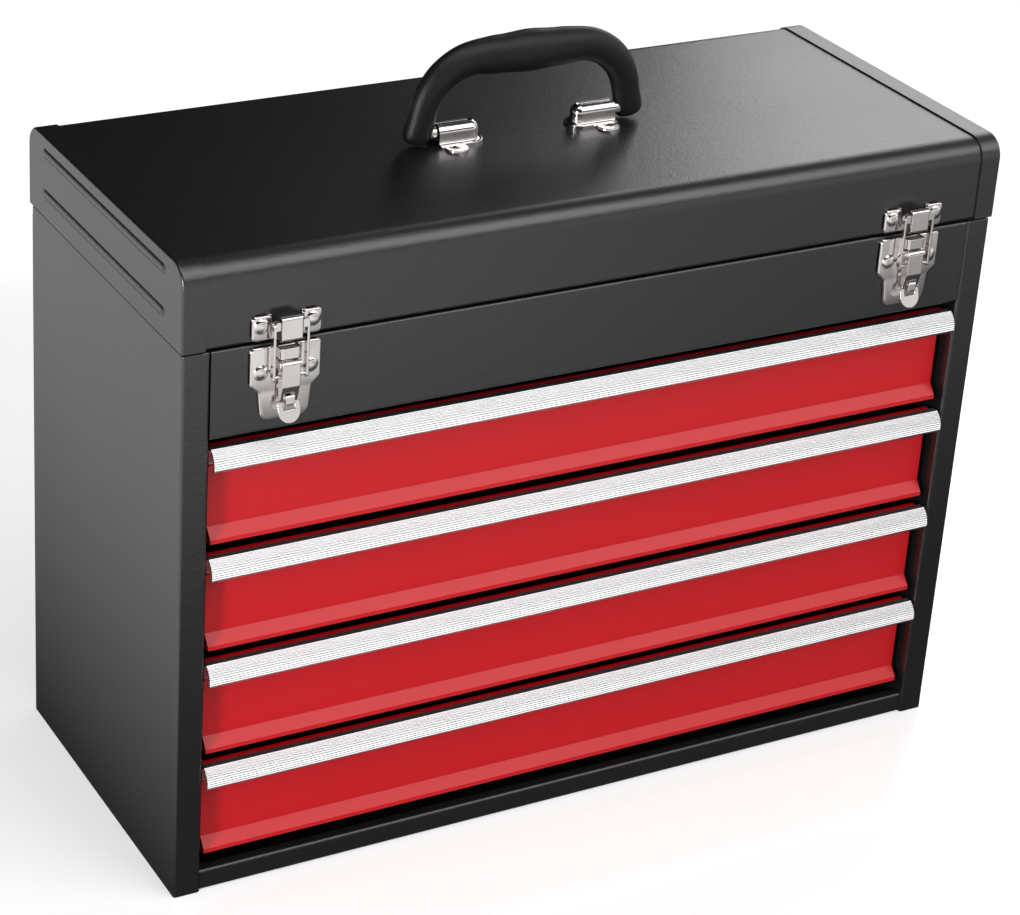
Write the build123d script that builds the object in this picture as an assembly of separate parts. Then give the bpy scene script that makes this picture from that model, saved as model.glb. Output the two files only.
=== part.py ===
import os

from build123d import *

# Portable steel tool box: a lidded top compartment over four drawers.
# Millimetres. X is the width, +Y the back, +Z up.
# The origin is the centre of the base's underside.

# ---------------------------------------------------------------- driving dimensions
# cabinet
WIDTH = 520.0
DEPTH = 219.0
BODY_HEIGHT = 341.0
GAUGE = 0.9                 # steel sheet of the cabinet and the lid
BEND = 0.8                  # inside radius of a press-brake bend
EDGE_ROUND = 1.0            # rounded top edges along the lid seam
FIT_GAP = 0.3               # between sheets that meet edge to face
POST_WIDTH = 16.0
POST_LIP = 24.0
FLANGE = 8.0
BASE_RAIL_HEIGHT = 13.0
BASE_RAIL_SETBACK = 1.5
BASE_REAR_FLANGE = 14.0
UPPER_FRONT_HEIGHT = 52.0   # panel above the drawers
FLOOR_UPTURN = 12.0

# lid
SEAM_GAP = 1.4
LID_HEIGHT = 48.5           # underside of the skirt to the top of the panel
LID_OVERHANG = 0.2          # lid panel past the cabinet's front
LID_ROUND = 12.0
CAP_WRAP = 13.5
CAP_EDGE_ROUND = 1.5
CAP_CLEARANCE = 0.05
BEAD_LENGTH = 175.0
BEAD_WIDTH = 6.0
BEAD_HEIGHT = 1.0
BEAD_LOW = 14.5             # lower bead's centre above the skirt's underside
BEAD_HIGH = 39.2

# continuous hinge
HINGE_INSET = 25.0          # hinge's end from the cabinet's side
KNUCKLES = 11
KNUCKLE_GAP = 0.3
HINGE_PIN_RADIUS = 1.0
HINGE_RUNNING = 0.05
BARREL_RADIUS = 2.0
LEAF_GAUGE = 0.8
LEAF_WIDTH = 16.0
SKIRT_ABOVE_PIN = 2.8       # lid's rear edge above the pin's axis
BACK_BELOW_PIN = 4.8        # back panel's top edge below it: the lid stops there when open
HINGE_RIVETS = 5
HINGE_RIVET_INSET = 27.0    # last rivet from the hinge's end

# drawers
DRAWERS = 4
DRAWER_FOOT_GAP = 9.3       # lowest face above the bottom rail
TOP_PULL_DROP = 6.5         # opening's top edge to the first pull's top
FACE_RECESS = 9.5
FACE_SIDE_GAP = 4.0         # between a drawer's face and the posts
FACE_GAP = 7.4              # a face's hem above the next pull
FACE_BEND = 0.6
LIP_KICK = 5.0
LIP_HEM = 2.6
LIP_HEIGHT = 8.6
FACE_JOG = 3.5
FACE_JOG_DROP = 11.0
FACE_TOP_RISE = 2.6
FACE_TOP_FLANGE = 5.0
PULL_SIDE_GAP = 2.0         # between a pull's ends and the posts
PULL_HEIGHT = 12.4
PULL_REACH = 9.0            # curved skin's nose in front of the clip leg
PULL_WALL = 1.3
PULL_RIBS = 10
PULL_RIB_RADIUS = 0.42
TRAY_SIDE_SPACE = 13.5      # between a tray's side and the posts, for the slides
TRAY_RIM_DROP = 14.0        # tray's rim below the pull's top
TRAY_REAR_GAP = 13.7        # between a closed tray and the back panel
TRAY_FLOOR_RISE = 2.5       # tray floor above the lip's hem
TRAY_HEM = 3.0
SLIDE_GAUGE = 1.2
SLIDE_HEIGHT = 27.0
SLIDE_DEPTH = 9.6
SLIDE_CLEARANCE = 0.3
SLIDE_SETBACK = 8.0         # slides behind the drawer's face
SLIDE_REAR_GAP = 5.7        # between the slides and the back panel
DRAWER_RAIL_SHORTER = 4.0

# handle
HANDLE_SPAN = 139.0         # between the centres of the two legs
HANDLE_RISE = 42.6          # pivot to the centre of the grip
HANDLE_LEAN = 13.0          # each leg leans in by this much over its height
HANDLE_SHOULDER = 26.0
PIVOT_HEIGHT = 7.2          # pivot above the lid
CORE_RADIUS = 4.0
CORE_BEND = 6.0
GRIP_BELLY = 25.0
GRIP_BELLY_DEPTH = 20.0
GRIP_LEG = 17.2
GRIP_LEG_DEPTH = 13.0
GRIP_FOOT = 5.6             # grip's end below the pivot
BRACKET_GAUGE = 1.6
BRACKET_RUNNING = 0.05
BRACKET_LENGTH = 21.0
BRACKET_LEG_GAP = 3.0
BRACKET_SLOT = 3.6
BRACKET_TAB_REACH = 11.6
BRACKET_TAB_RADIUS = 7.0
BRACKET_FOOT = 6.0

# draw latches
LATCH_INSET = 58.5          # latch's middle from the cabinet's side
LATCH_GAUGE = 1.0
BASE_TOP_DROP = 1.4         # latch base's top edge below the cabinet's top
BASE_PLATE_WIDTH = 41.3
BASE_PLATE_HEIGHT = 43.0
BASE_SHOULDER_DROP = 21.8
BASE_TAPER_DROP = 26.4
BASE_TAPER_WIDTH = 31.4
BASE_FOOT_WIDTH = 28.0
BASE_CORNER = 5.0
BASE_RIVET_DROP = 14.5
BASE_RIVET_SPACING = 28.8
BRIDGE_WIDTH = 12.0
BRIDGE_HEIGHT = 6.2
BRIDGE_STAND = 8.2
LEVER_STAND = 9.5
LEVER_WIDTH = 10.4
LEVER_PIVOT_DROP = 11.5     # lever pin below the cabinet's top
LEVER_NOSE = 2.7
LEVER_STRAIGHT = 12.2       # pin to the start of the lever's slope
LEVER_SLOPE = 21.8
LEVER_LENGTH = 33.0
LEVER_SLOPE_STAND = 6.6
TAB_STAND = 10.4
TAB_WIDTH = 13.0
WINDOW_WIDTH = 7.2
WINDOW_TOP = 15.8
WINDOW_BOTTOM = 26.3
STAPLE_WIDTH = 5.0
STAPLE_TOP = 17.3
STAPLE_HEIGHT = 6.0
LEVER_PIN_RADIUS = 1.3
LATCH_RUNNING = 0.05
EAR_GAP = 0.25
EAR_RADIUS = 2.5
BAIL_DROP = 6.3             # bail pivot below the lever pin
BAIL_ROD_RADIUS = 1.1
BAIL_SPREAD = 18.0          # between the inner faces of the bail's arms
BAIL_ARM = 1.4
BAIL_ARM_DEPTH = 3.6
BAIL_RISE = 32.4            # bail pivot to the top of its arms
BAIL_FOOT = 2.2
BAIL_HOOK = 5.0
STRIKE_WIDTH = 40.6
STRIKE_HEIGHT = 14.2
STRIKE_LIFT = 1.2           # strike's lower edge above the lid seam
STRIKE_TAB = 11.5
STRIKE_CORNER = 2.6
TONGUE_WIDTH = 12.0
TONGUE_STAND = 9.0
TONGUE_RETURN = 3.2         # tongue's top edge, folded back over the hooks
TONGUE_BACK_GAP = 0.5       # between the tongue's sides and the bail's hooks
STRIKE_RIVET_SPACING = 30.0
STRIKE_RIVET_RISE = 8.6

# rivets
RIVET_HEAD = 4.2
RIVET_DOME = 2.4
RIVET_SHANK = 1.5
SMALL_HEAD = 2.6
SMALL_DOME = 1.1
TAIL_DOME = 0.8

# ---------------------------------------------------------------- derived places
HALF_W = WIDTH / 2
HALF_D = DEPTH / 2
POST_INNER = HALF_W - POST_WIDTH
OPENING_TOP = BODY_HEIGHT - UPPER_FRONT_HEIGHT
TOP_PULL_Z = OPENING_TOP - TOP_PULL_DROP
FOOT_Z = BASE_RAIL_HEIGHT + DRAWER_FOOT_GAP
DRAWER_PITCH = (TOP_PULL_Z + FACE_GAP - FOOT_Z) / DRAWERS
FACE_HEIGHT = DRAWER_PITCH - FACE_GAP
TRAY_HEIGHT = FACE_HEIGHT - TRAY_FLOOR_RISE - TRAY_RIM_DROP
SKIRT_Z = BODY_HEIGHT + SEAM_GAP
LID_TOP = SKIRT_Z + LID_HEIGHT
PIN_Z = SKIRT_Z - SKIRT_ABOVE_PIN
BACK_INNER = HALF_D - GAUGE
PIN_Y = BACK_INNER - BARREL_RADIUS
BACK_TOP = PIN_Z - BACK_BELOW_PIN
FACE_Y = -HALF_D + FACE_RECESS
CLIP_Y = FACE_Y - FACE_JOG
PIVOT_Z = LID_TOP + PIVOT_HEIGHT
LID_FRONT = -HALF_D - LID_OVERHANG
LID_HALF = HALF_W + LID_OVERHANG
LATCH_PIN_Z = BODY_HEIGHT - LEVER_PIVOT_DROP
LATCH_PIN_STAND = LEVER_STAND - LEVER_NOSE
BAIL_Z = LATCH_PIN_Z - BAIL_DROP
FACE_BACK = FACE_Y + GAUGE
FACE_HALF = POST_INNER - FACE_SIDE_GAP
PULL_HALF = POST_INNER - PULL_SIDE_GAP
TRAY_HALF = POST_INNER - TRAY_SIDE_SPACE
TRAY_REAR = BACK_INNER - TRAY_REAR_GAP
SLIDE_FRONT = FACE_BACK + SLIDE_SETBACK
SLIDE_REAR = BACK_INNER - SLIDE_REAR_GAP
HINGE_HALF = HALF_W - HINGE_INSET
LATCH_X = HALF_W - LATCH_INSET


# ---------------------------------------------------------------- sheet-metal helpers
def strip(points, gauge, bend=BEND, radii=None, side=-1):
    """Face of a bent strip. points run along its outer skin; side is +1 where the metal
    lies to the left of the path and -1 where it lies to the right."""
    count = len(points)
    dirs = []
    for (ax, ay), (bx, by) in zip(points, points[1:]):
        length = ((bx - ax) ** 2 + (by - ay) ** 2) ** 0.5
        dirs.append(((bx - ax) / length, (by - ay) / length))
    inner = []
    skin_radii = []
    back_radii = []
    for index, (px, py) in enumerate(points):
        before = dirs[max(index - 1, 0)]
        after = dirs[min(index, count - 2)]
        normal = (-(before[1] + after[1]), before[0] + after[0])
        dot = 1 + before[0] * after[0] + before[1] * after[1]
        reach = side * gauge / dot
        inner.append((px + normal[0] * reach, py + normal[1] * reach))
        if 0 < index < count - 1:
            turn = before[0] * after[1] - before[1] * after[0]
            wrapped = turn * side > 0
            inside = bend if radii is None else radii[index - 1]
            skin_radii.append(inside + gauge if wrapped else inside)
            back_radii.append(inside if wrapped else inside + gauge)
    if count == 2:
        skin = Line(*points)
        back = Line(*inner)
    else:
        skin = FilletPolyline(*points, radius=skin_radii)
        back = FilletPolyline(*inner, radius=back_radii)
    ends = [Line(points[0], inner[0]), Line(points[-1], inner[-1])]
    return make_face(skin.edges() + back.edges() + ends)


def along_x(face, low, high):
    """Extrude a face drawn in (y, z) from x = low to x = high."""
    return extrude(Plane.YZ.offset(low) * face, high - low)


def along_y(face, low, high):
    """Extrude a face drawn in (x, z) from y = low to y = high."""
    plane = Plane(origin=(0, high, 0), x_dir=(1, 0, 0), z_dir=(0, -1, 0))
    return extrude(plane * face, high - low)


def along_z(face, low, high):
    """Extrude a face drawn in (x, y) from z = low to z = high."""
    return extrude(Plane.XY.offset(low) * face, high - low)


def block(x0, x1, y0, y1, z0, z1):
    """Box between two corners."""
    centre = ((x0 + x1) / 2, (y0 + y1) / 2, (z0 + z1) / 2)
    return Pos(*centre) * Box(x1 - x0, y1 - y0, z1 - z0)


def rod_x(x0, x1, y, z, radius):
    """Cylinder along X."""
    return Pos((x0 + x1) / 2, y, z) * Rot(0, 90, 0) * Cylinder(radius, x1 - x0)


def rivet(head, dome, shank, grip):
    """Rivet on the Z axis: the dome stands on z = 0, the shank and its tail lie below."""
    bulge = (head ** 2 + dome ** 2) / (2 * dome)
    half = ((bulge ** 2 - (head / 2) ** 2) ** 0.5) - (bulge - dome)
    skin = ThreePointArc((head, 0), (head / 2, half), (0, dome))
    tail = 1.5 * shank
    outline = Polyline((0, dome), (0, -grip - TAIL_DOME), (tail, -grip - TAIL_DOME),
                       (tail, -grip), (shank, -grip), (shank, 0), (head, 0))
    return revolve(Plane.XZ * make_face([skin] + outline.edges()), Axis.Z)


FACING_FRONT = Rot(90, 0, 0)
FACING_BACK = Rot(-90, 0, 0)


# ---------------------------------------------------------------- cabinet
def side_panel():
    """Right side: wall, front and rear post with their inner lips, top and bottom flange."""
    outline = [(POST_INNER, -HALF_D + POST_LIP), (POST_INNER, -HALF_D), (HALF_W, -HALF_D),
               (HALF_W, HALF_D), (POST_INNER, HALF_D), (POST_INNER, HALF_D - POST_LIP)]
    panel = along_z(strip(outline, GAUGE, side=1), 0, BODY_HEIGHT)
    side = HALF_W - 0.75 * GAUGE
    ends = HALF_D - 0.75 * GAUGE
    foot = block(POST_INNER, side, -ends, ends, 0, GAUGE)
    rim = block(HALF_W - FLANGE, side, -ends, PIN_Y, BODY_HEIGHT - GAUGE, BODY_HEIGHT)
    post_rim = block(POST_INNER, side, -ends, -HALF_D + FLANGE, BODY_HEIGHT - GAUGE, BODY_HEIGHT)
    panel = panel + foot + rim + post_rim
    notch = block(POST_INNER - 1, HALF_W + 1, PIN_Y + 1, HALF_D + 1, BACK_TOP, BODY_HEIGHT + 1)
    panel = panel - notch
    rims = panel.edges().filter_by_position(Axis.Z, BODY_HEIGHT, BODY_HEIGHT)
    outer = [edge for edge in rims if edge.center().Y < -HALF_D + 0.6 * GAUGE
             or edge.center().X > HALF_W - 0.1 * GAUGE]
    return fillet(outer, EDGE_ROUND)


def upper_front_panel():
    """Panel above the drawers, with a return under it and a rim along the lid seam."""
    points = [(-HALF_D + POST_LIP / 2, OPENING_TOP), (-HALF_D, OPENING_TOP),
              (-HALF_D, BODY_HEIGHT), (-HALF_D + FLANGE, BODY_HEIGHT)]
    half = POST_INNER - FIT_GAP
    panel = along_x(strip(points, GAUGE), -half, half)
    holes = [Pos(x, 0, z) * FACING_FRONT * Cylinder(RIVET_SHANK, DEPTH * 2)
             for x, z in latch_base_rivet_places()]
    cutter = block(-half, half, -HALF_D - 1, -HALF_D + 2 * GAUGE, 0, BODY_HEIGHT)
    return panel - [hole & cutter for hole in holes]


def base_pan():
    """Floor of the cabinet with its front rail and rear flange."""
    rear = BACK_INNER - FIT_GAP
    front = -HALF_D + BASE_RAIL_SETBACK
    points = [(rear, BASE_REAR_FLANGE), (rear, 0), (front, 0), (front, BASE_RAIL_HEIGHT),
              (front + FLANGE, BASE_RAIL_HEIGHT), (front + FLANGE, BASE_RAIL_HEIGHT - FLANGE / 2)]
    half = POST_INNER - FIT_GAP
    return along_x(strip(points, GAUGE), -half, half)


def back_panel():
    """Flat back; its top edge stops the open lid."""
    half = POST_INNER - FIT_GAP
    panel = block(-half, half, BACK_INNER, HALF_D, 0, BACK_TOP)
    return panel - hinge_rivet_holes(PIN_Z - SKIRT_ABOVE_PIN - LEAF_WIDTH / 2)


def compartment_floor():
    """Floor of the top compartment, notched round the posts' lips."""
    low = OPENING_TOP + GAUGE + FIT_GAP
    half = HALF_W - GAUGE - FIT_GAP
    lip_end = HALF_D - POST_LIP - FIT_GAP
    points = [(-half, low + FLOOR_UPTURN), (-half, low), (half, low), (half, low + FLOOR_UPTURN)]
    pan = along_y(strip(points, GAUGE, side=1), -lip_end, lip_end)
    middle = POST_INNER - FIT_GAP
    reach = BACK_INNER - FIT_GAP
    return pan + block(-middle, middle, -reach, reach, low, low + GAUGE)


def slide_centre(index):
    """Height of the slides of drawer index, counted from 0 at the top."""
    return tray_floor_z(index) + TRAY_HEIGHT / 2


def slide_rails():
    """The right-hand channel of every drawer, fixed to the posts' lips."""
    outer = POST_INNER
    rails = []
    for index in range(DRAWERS):
        mid = slide_centre(index)
        points = [(outer - SLIDE_DEPTH, mid + SLIDE_HEIGHT / 2), (outer, mid + SLIDE_HEIGHT / 2),
                  (outer, mid - SLIDE_HEIGHT / 2), (outer - SLIDE_DEPTH, mid - SLIDE_HEIGHT / 2)]
        rails.append(along_y(strip(points, SLIDE_GAUGE), SLIDE_FRONT, SLIDE_REAR))
    return rails


# ---------------------------------------------------------------- hinge
def hinge_rivet_xs():
    """X places of the rivets along the hinge."""
    last = HINGE_HALF - HINGE_RIVET_INSET
    spacing = 2 * last / (HINGE_RIVETS - 1)
    return [-last + spacing * index for index in range(HINGE_RIVETS)]


def hinge_rivet_holes(z):
    """Cutters for one row of hinge rivets."""
    return [Pos(x, BACK_INNER, z) * FACING_BACK * Cylinder(RIVET_SHANK, 4 * (GAUGE + LEAF_GAUGE))
            for x in hinge_rivet_xs()]


def hinge_rivets(z):
    """One row of rivets through a leaf and the sheet behind it."""
    shape = rivet(SMALL_HEAD, SMALL_DOME, RIVET_SHANK, GAUGE + LEAF_GAUGE)
    return [Pos(x, HALF_D, z) * FACING_BACK * shape for x in hinge_rivet_xs()]


def hinge_leaf(upper):
    """One leaf with every second knuckle."""
    sign = 1 if upper else -1
    near = PIN_Z + sign * SKIRT_ABOVE_PIN
    far = near + sign * LEAF_WIDTH
    leaf = block(-HINGE_HALF, HINGE_HALF, BACK_INNER - LEAF_GAUGE, BACK_INNER,
                 min(near, far), max(near, far))
    leaf = leaf - hinge_rivet_holes((near + far) / 2)
    pitch = 2 * HINGE_HALF / KNUCKLES
    for index in range(1 if upper else 0, KNUCKLES, 2):
        x0 = -HINGE_HALF + index * pitch + KNUCKLE_GAP / 2
        x1 = x0 + pitch - KNUCKLE_GAP
        tab = block(x0, x1, BACK_INNER - LEAF_GAUGE, BACK_INNER, min(PIN_Z, near + sign),
                    max(PIN_Z, near + sign))
        barrel = rod_x(x0, x1, PIN_Y, PIN_Z, BARREL_RADIUS)
        bore = rod_x(x0 - 1, x1 + 1, PIN_Y, PIN_Z, HINGE_PIN_RADIUS + HINGE_RUNNING)
        leaf = leaf + (tab + barrel - bore)
    return leaf


def hinge_pin():
    """Wire that joins the two leaves."""
    return rod_x(-HINGE_HALF, HINGE_HALF, PIN_Y, PIN_Z, HINGE_PIN_RADIUS)


# ---------------------------------------------------------------- lid
def lid_points(outset):
    """Front skirt, top and rear skirt in (y, z), moved out by outset."""
    return [(LID_FRONT - outset, SKIRT_Z), (LID_FRONT - outset, LID_TOP + outset),
            (HALF_D + outset, LID_TOP + outset), (HALF_D + outset, SKIRT_Z)]


def lid_panel():
    """Front, top and back of the lid in one sheet, hemmed along the front edge."""
    points = [(LID_FRONT + FLANGE, SKIRT_Z)] + lid_points(0)
    round_inside = LID_ROUND - GAUGE
    face = strip(points, GAUGE, radii=[BEND, round_inside, round_inside])
    panel = along_x(face, -LID_HALF, LID_HALF)
    panel = panel - hinge_rivet_holes(PIN_Z + SKIRT_ABOVE_PIN + LEAF_WIDTH / 2)
    shank = RIVET_SHANK
    for x, z in strike_rivet_places():
        panel = panel - Pos(x, LID_FRONT, z) * FACING_FRONT * Cylinder(shank, 6 * GAUGE)
    for x, y in bracket_rivet_places():
        panel = panel - Pos(x, y, LID_TOP) * Cylinder(shank, 6 * GAUGE)
    return panel


def lid_cap():
    """Right end of the lid: a pressed end face that wraps over the lid panel."""
    outset = GAUGE + CAP_CLEARANCE
    radius = LID_ROUND + outset
    skin = FilletPolyline(*lid_points(outset), radius=[radius, radius])
    inner = FilletPolyline(*lid_points(CAP_CLEARANCE), radius=[LID_ROUND + CAP_CLEARANCE] * 2)
    solid_face = make_face(skin.edges() + [Line(skin @ 1, skin @ 0)])
    hollow_face = make_face(inner.edges() + [Line(inner @ 1, inner @ 0)])
    inside = LID_HALF + CAP_CLEARANCE
    outside = inside + GAUGE
    cap = along_x(solid_face, outside - CAP_WRAP, outside)
    edges = cap.edges().filter_by_position(Axis.X, outside, outside)
    rim = [edge for edge in edges if edge.center().Z > SKIRT_Z + 0.01]
    cap = fillet(rim, CAP_EDGE_ROUND)
    cap = cap - along_x(hollow_face, outside - CAP_WRAP - 1, inside)
    cap = cap + block(outside - FLANGE, inside + GAUGE / 2, LID_FRONT + 2 * FLANGE,
                      PIN_Y - BARREL_RADIUS - 1, SKIRT_Z, SKIRT_Z + GAUGE)
    for rise in (BEAD_LOW, BEAD_HIGH):
        cap = cap + bead(outside, SKIRT_Z + rise)
    return cap


def bead(x, z):
    """Long pressed bead standing out of the end face at x."""
    chord = BEAD_WIDTH / 2
    radius = (chord ** 2 + BEAD_HEIGHT ** 2) / (2 * BEAD_HEIGHT)
    axis_x = x + BEAD_HEIGHT - radius
    run = BEAD_LENGTH / 2 - chord
    body = Pos(axis_x, 0, z) * Rot(90, 0, 0) * Cylinder(radius, 2 * run)
    body = body + [Pos(axis_x, y, z) * Sphere(radius) for y in (-run, run)]
    return body & block(x - GAUGE / 2, x + BEAD_HEIGHT + 1, -BEAD_LENGTH, BEAD_LENGTH,
                        z - BEAD_WIDTH, z + BEAD_WIDTH)


# ---------------------------------------------------------------- handle
def leg_x(height):
    """Centre of the right leg at a height above the pivot."""
    return HANDLE_SPAN / 2 - HANDLE_LEAN * height / HANDLE_RISE


def handle_core():
    """Steel rod through the grip; its turned-in ends are the pivots."""
    end = leg_x(0) - GRIP_LEG / 2 - BRACKET_LENGTH - BRACKET_LEG_GAP
    top = PIVOT_Z + HANDLE_RISE
    points = [(end, PIVOT_Z), (leg_x(0), PIVOT_Z), (leg_x(HANDLE_RISE), top),
              (-leg_x(HANDLE_RISE), top), (-leg_x(0), PIVOT_Z), (-end, PIVOT_Z)]
    radii = [CORE_BEND, HANDLE_SHOULDER, HANDLE_SHOULDER, CORE_BEND]
    path = Plane.XZ * FilletPolyline(*points, radius=radii)
    start = Plane(origin=path @ 0, z_dir=path % 0)
    return sweep(start * Circle(CORE_RADIUS), path)


def handle_grip(core):
    """Moulded grip: slim legs, full shoulders and a belly for the palm."""
    top = PIVOT_Z + HANDLE_RISE
    foot = PIVOT_Z - GRIP_FOOT
    points = [(leg_x(-GRIP_FOOT), foot), (leg_x(HANDLE_RISE), top),
              (-leg_x(HANDLE_RISE), top), (-leg_x(-GRIP_FOOT), foot)]
    path = Plane.XZ * FilletPolyline(*points, radius=HANDLE_SHOULDER)
    half = path.length / 2
    leg = GRIP_LEG / 2
    leg_depth = GRIP_LEG_DEPTH / 2
    belly = GRIP_BELLY / 2
    belly_depth = GRIP_BELLY_DEPTH / 2
    # share of the way from leg to belly, at a distance from the foot
    swell = [(0, -0.95), (1.0, -0.42), (2.8, -0.08), (GRIP_FOOT, 0.06), (0.16 * half, 0.0),
             (0.3 * half, 0.1), (0.45 * half, 0.24), (0.62 * half, 0.36), (0.8 * half, 0.68),
             (half, 1.0)]
    sections = []
    for distance, share in swell + [(2 * half - d, s) for d, s in reversed(swell[:-1])]:
        place = distance / (2 * half)
        across = leg + share * (belly - leg)
        deep = leg_depth + share * (belly_depth - leg_depth)
        plane = Plane(origin=path @ place, x_dir=(0, 1, 0), z_dir=path % place)
        sections.append(plane * Ellipse(deep, across))
    return loft(sections) - core


def bracket_rivet_places():
    """(x, y) of the bracket rivets on the lid."""
    x = leg_x(0) - GRIP_LEG / 2 - BRACKET_LEG_GAP - BRACKET_TAB_RADIUS
    return [(sign * x, side * BRACKET_TAB_REACH) for sign in (-1, 1) for side in (-1, 1)]


def handle_bracket():
    """Right bracket: a saddle over the pivot, riveted down by two round tabs."""
    outer_x = leg_x(0) - GRIP_LEG / 2 - BRACKET_LEG_GAP
    inner_x = outer_x - BRACKET_LENGTH
    bore = CORE_RADIUS + BRACKET_RUNNING
    saddle = bore + BRACKET_GAUGE
    tab_x = bracket_rivet_places()[-1][0]
    plate_top = LID_TOP + BRACKET_GAUGE
    plate = block(inner_x - BRACKET_FOOT, outer_x, -saddle, saddle, LID_TOP, plate_top)
    nose = Pos(inner_x - BRACKET_FOOT, 0, (LID_TOP + plate_top) / 2)
    plate = plate + nose * Cylinder(saddle, BRACKET_GAUGE)
    neck = BRACKET_TAB_RADIUS
    for side in (-1, 1):
        reach = side * BRACKET_TAB_REACH
        tab = Pos(tab_x, reach, (LID_TOP + plate_top) / 2) * Cylinder(neck, BRACKET_GAUGE)
        web = block(tab_x - neck, tab_x + neck, min(0, reach), max(0, reach), LID_TOP, plate_top)
        plate = plate + tab + web
    wall = block(inner_x, outer_x, -saddle, saddle, LID_TOP, PIVOT_Z)
    body = plate + wall + rod_x(inner_x, outer_x, 0, PIVOT_Z, saddle)
    open_end = inner_x - FIT_GAP
    body = body - rod_x(open_end, outer_x + 1, 0, PIVOT_Z, bore)
    body = body - block(open_end, outer_x + 1, -bore, bore, plate_top, PIVOT_Z)
    slot_end = inner_x + 2 * BRACKET_GAUGE
    body = body - block(slot_end, outer_x - 2 * BRACKET_GAUGE, -BRACKET_SLOT / 2,
                        BRACKET_SLOT / 2, PIVOT_Z, PIVOT_Z + 2 * saddle)
    body = body + block(inner_x, inner_x + BRACKET_GAUGE / 2, -saddle, saddle,
                        LID_TOP, PIVOT_Z - CORE_RADIUS - BRACKET_GAUGE)
    for x, y in bracket_rivet_places():
        body = body - Pos(x, y, LID_TOP) * Cylinder(RIVET_SHANK, 6 * BRACKET_GAUGE)
    return body


def bracket_rivets():
    """Four rivets through the bracket tabs and the lid."""
    shape = rivet(SMALL_HEAD + 1, SMALL_DOME, RIVET_SHANK, GAUGE + BRACKET_GAUGE)
    return [Pos(x, y, LID_TOP + BRACKET_GAUGE) * shape for x, y in bracket_rivet_places()]


# ---------------------------------------------------------------- drawers
def pull_top(index):
    """Top of a drawer's pull; index counts from 0 at the top."""
    return TOP_PULL_Z - index * DRAWER_PITCH


def tray_floor_z(index):
    """Underside of a drawer's tray."""
    return pull_top(index) - FACE_HEIGHT + TRAY_FLOOR_RISE


def drawer_front(index):
    """Painted front: kicked-out lip, flat face and the jogged edge that carries the pull."""
    top = pull_top(index)
    low = top - FACE_HEIGHT
    lip = FACE_Y - LIP_KICK
    points = [(FACE_Y + 1.5, low), (lip, low), (lip, low + LIP_HEM), (FACE_Y, low + LIP_HEIGHT),
              (FACE_Y, top - FACE_JOG_DROP - FACE_JOG), (CLIP_Y, top - FACE_JOG_DROP),
              (CLIP_Y, top + FACE_TOP_RISE), (CLIP_Y + FACE_TOP_FLANGE, top + FACE_TOP_RISE)]
    return along_x(strip(points, GAUGE, bend=FACE_BEND), -FACE_HALF, FACE_HALF)


def drawer_pull(index):
    """Ribbed aluminium section clipped over the front's top edge."""
    top = pull_top(index)
    leg = CLIP_Y
    nose = leg - PULL_REACH
    skin = ThreePointArc((leg - 0.4 * PULL_REACH, top),
                         (nose + 0.18 * PULL_REACH, top - 0.26 * PULL_HEIGHT),
                         (nose, top - PULL_HEIGHT + PULL_WALL))
    inner = ThreePointArc((leg - 0.4 * PULL_REACH, top - PULL_WALL),
                          (nose + 0.18 * PULL_REACH + 0.85 * PULL_WALL,
                           top - 0.26 * PULL_HEIGHT - 0.55 * PULL_WALL),
                          (nose + PULL_WALL, top - PULL_HEIGHT + PULL_WALL))
    wall = make_face([skin, inner, Line(skin @ 0, inner @ 0), Line(skin @ 1, inner @ 1)])
    hook_end = nose + 2.2 * PULL_WALL
    hook_low = top - PULL_HEIGHT
    hook = make_face(Polyline((nose, hook_low + PULL_WALL), (nose + PULL_WALL / 2, hook_low),
                              (hook_end, hook_low), (hook_end, hook_low + PULL_WALL),
                              close=True))
    web = Pos(leg - 0.2 * PULL_REACH, top - PULL_WALL / 2) * Rectangle(0.4 * PULL_REACH, PULL_WALL)
    clip_drop = FACE_JOG_DROP - 1.0
    clip = Pos(leg - PULL_WALL / 2, top - clip_drop / 2) * Rectangle(PULL_WALL, clip_drop)
    ribs = [Pos(skin @ ((step + 0.5) / PULL_RIBS)) * Circle(PULL_RIB_RADIUS)
            for step in range(PULL_RIBS)]
    section = wall + hook + web + clip + ribs
    return along_x(section, -PULL_HALF, PULL_HALF)


def drawer_tray(index):
    """Open box behind the front, hemmed along its sides."""
    low = tray_floor_z(index)
    high = low + TRAY_HEIGHT
    half = TRAY_HALF
    points = [(-half + TRAY_HEM, high), (-half, high), (-half, low), (half, low), (half, high),
              (half - TRAY_HEM, high)]
    tray = along_y(strip(points, GAUGE, side=1), FACE_BACK, TRAY_REAR)
    wall_half = half - GAUGE / 2
    for y in (FACE_BACK, TRAY_REAR - GAUGE):
        tray = tray + block(-wall_half, wall_half, y, y + GAUGE, low + GAUGE / 2, high - GAUGE)
    return tray


def drawer_slides(index):
    """Pair of channels on the tray's sides that run in the cabinet's slide rails."""
    mid = slide_centre(index)
    near = TRAY_HALF
    far = POST_INNER - SLIDE_GAUGE - SLIDE_CLEARANCE
    half = SLIDE_HEIGHT / 2 - SLIDE_GAUGE - SLIDE_CLEARANCE
    points = [(far, mid + half), (near, mid + half), (near, mid - half), (far, mid - half)]
    face = strip(points, SLIDE_GAUGE, side=1)
    shorter = DRAWER_RAIL_SHORTER / 2
    rail = along_y(face, SLIDE_FRONT + shorter, SLIDE_REAR - shorter)
    return [rail, mirror(rail, Plane.YZ)]


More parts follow.
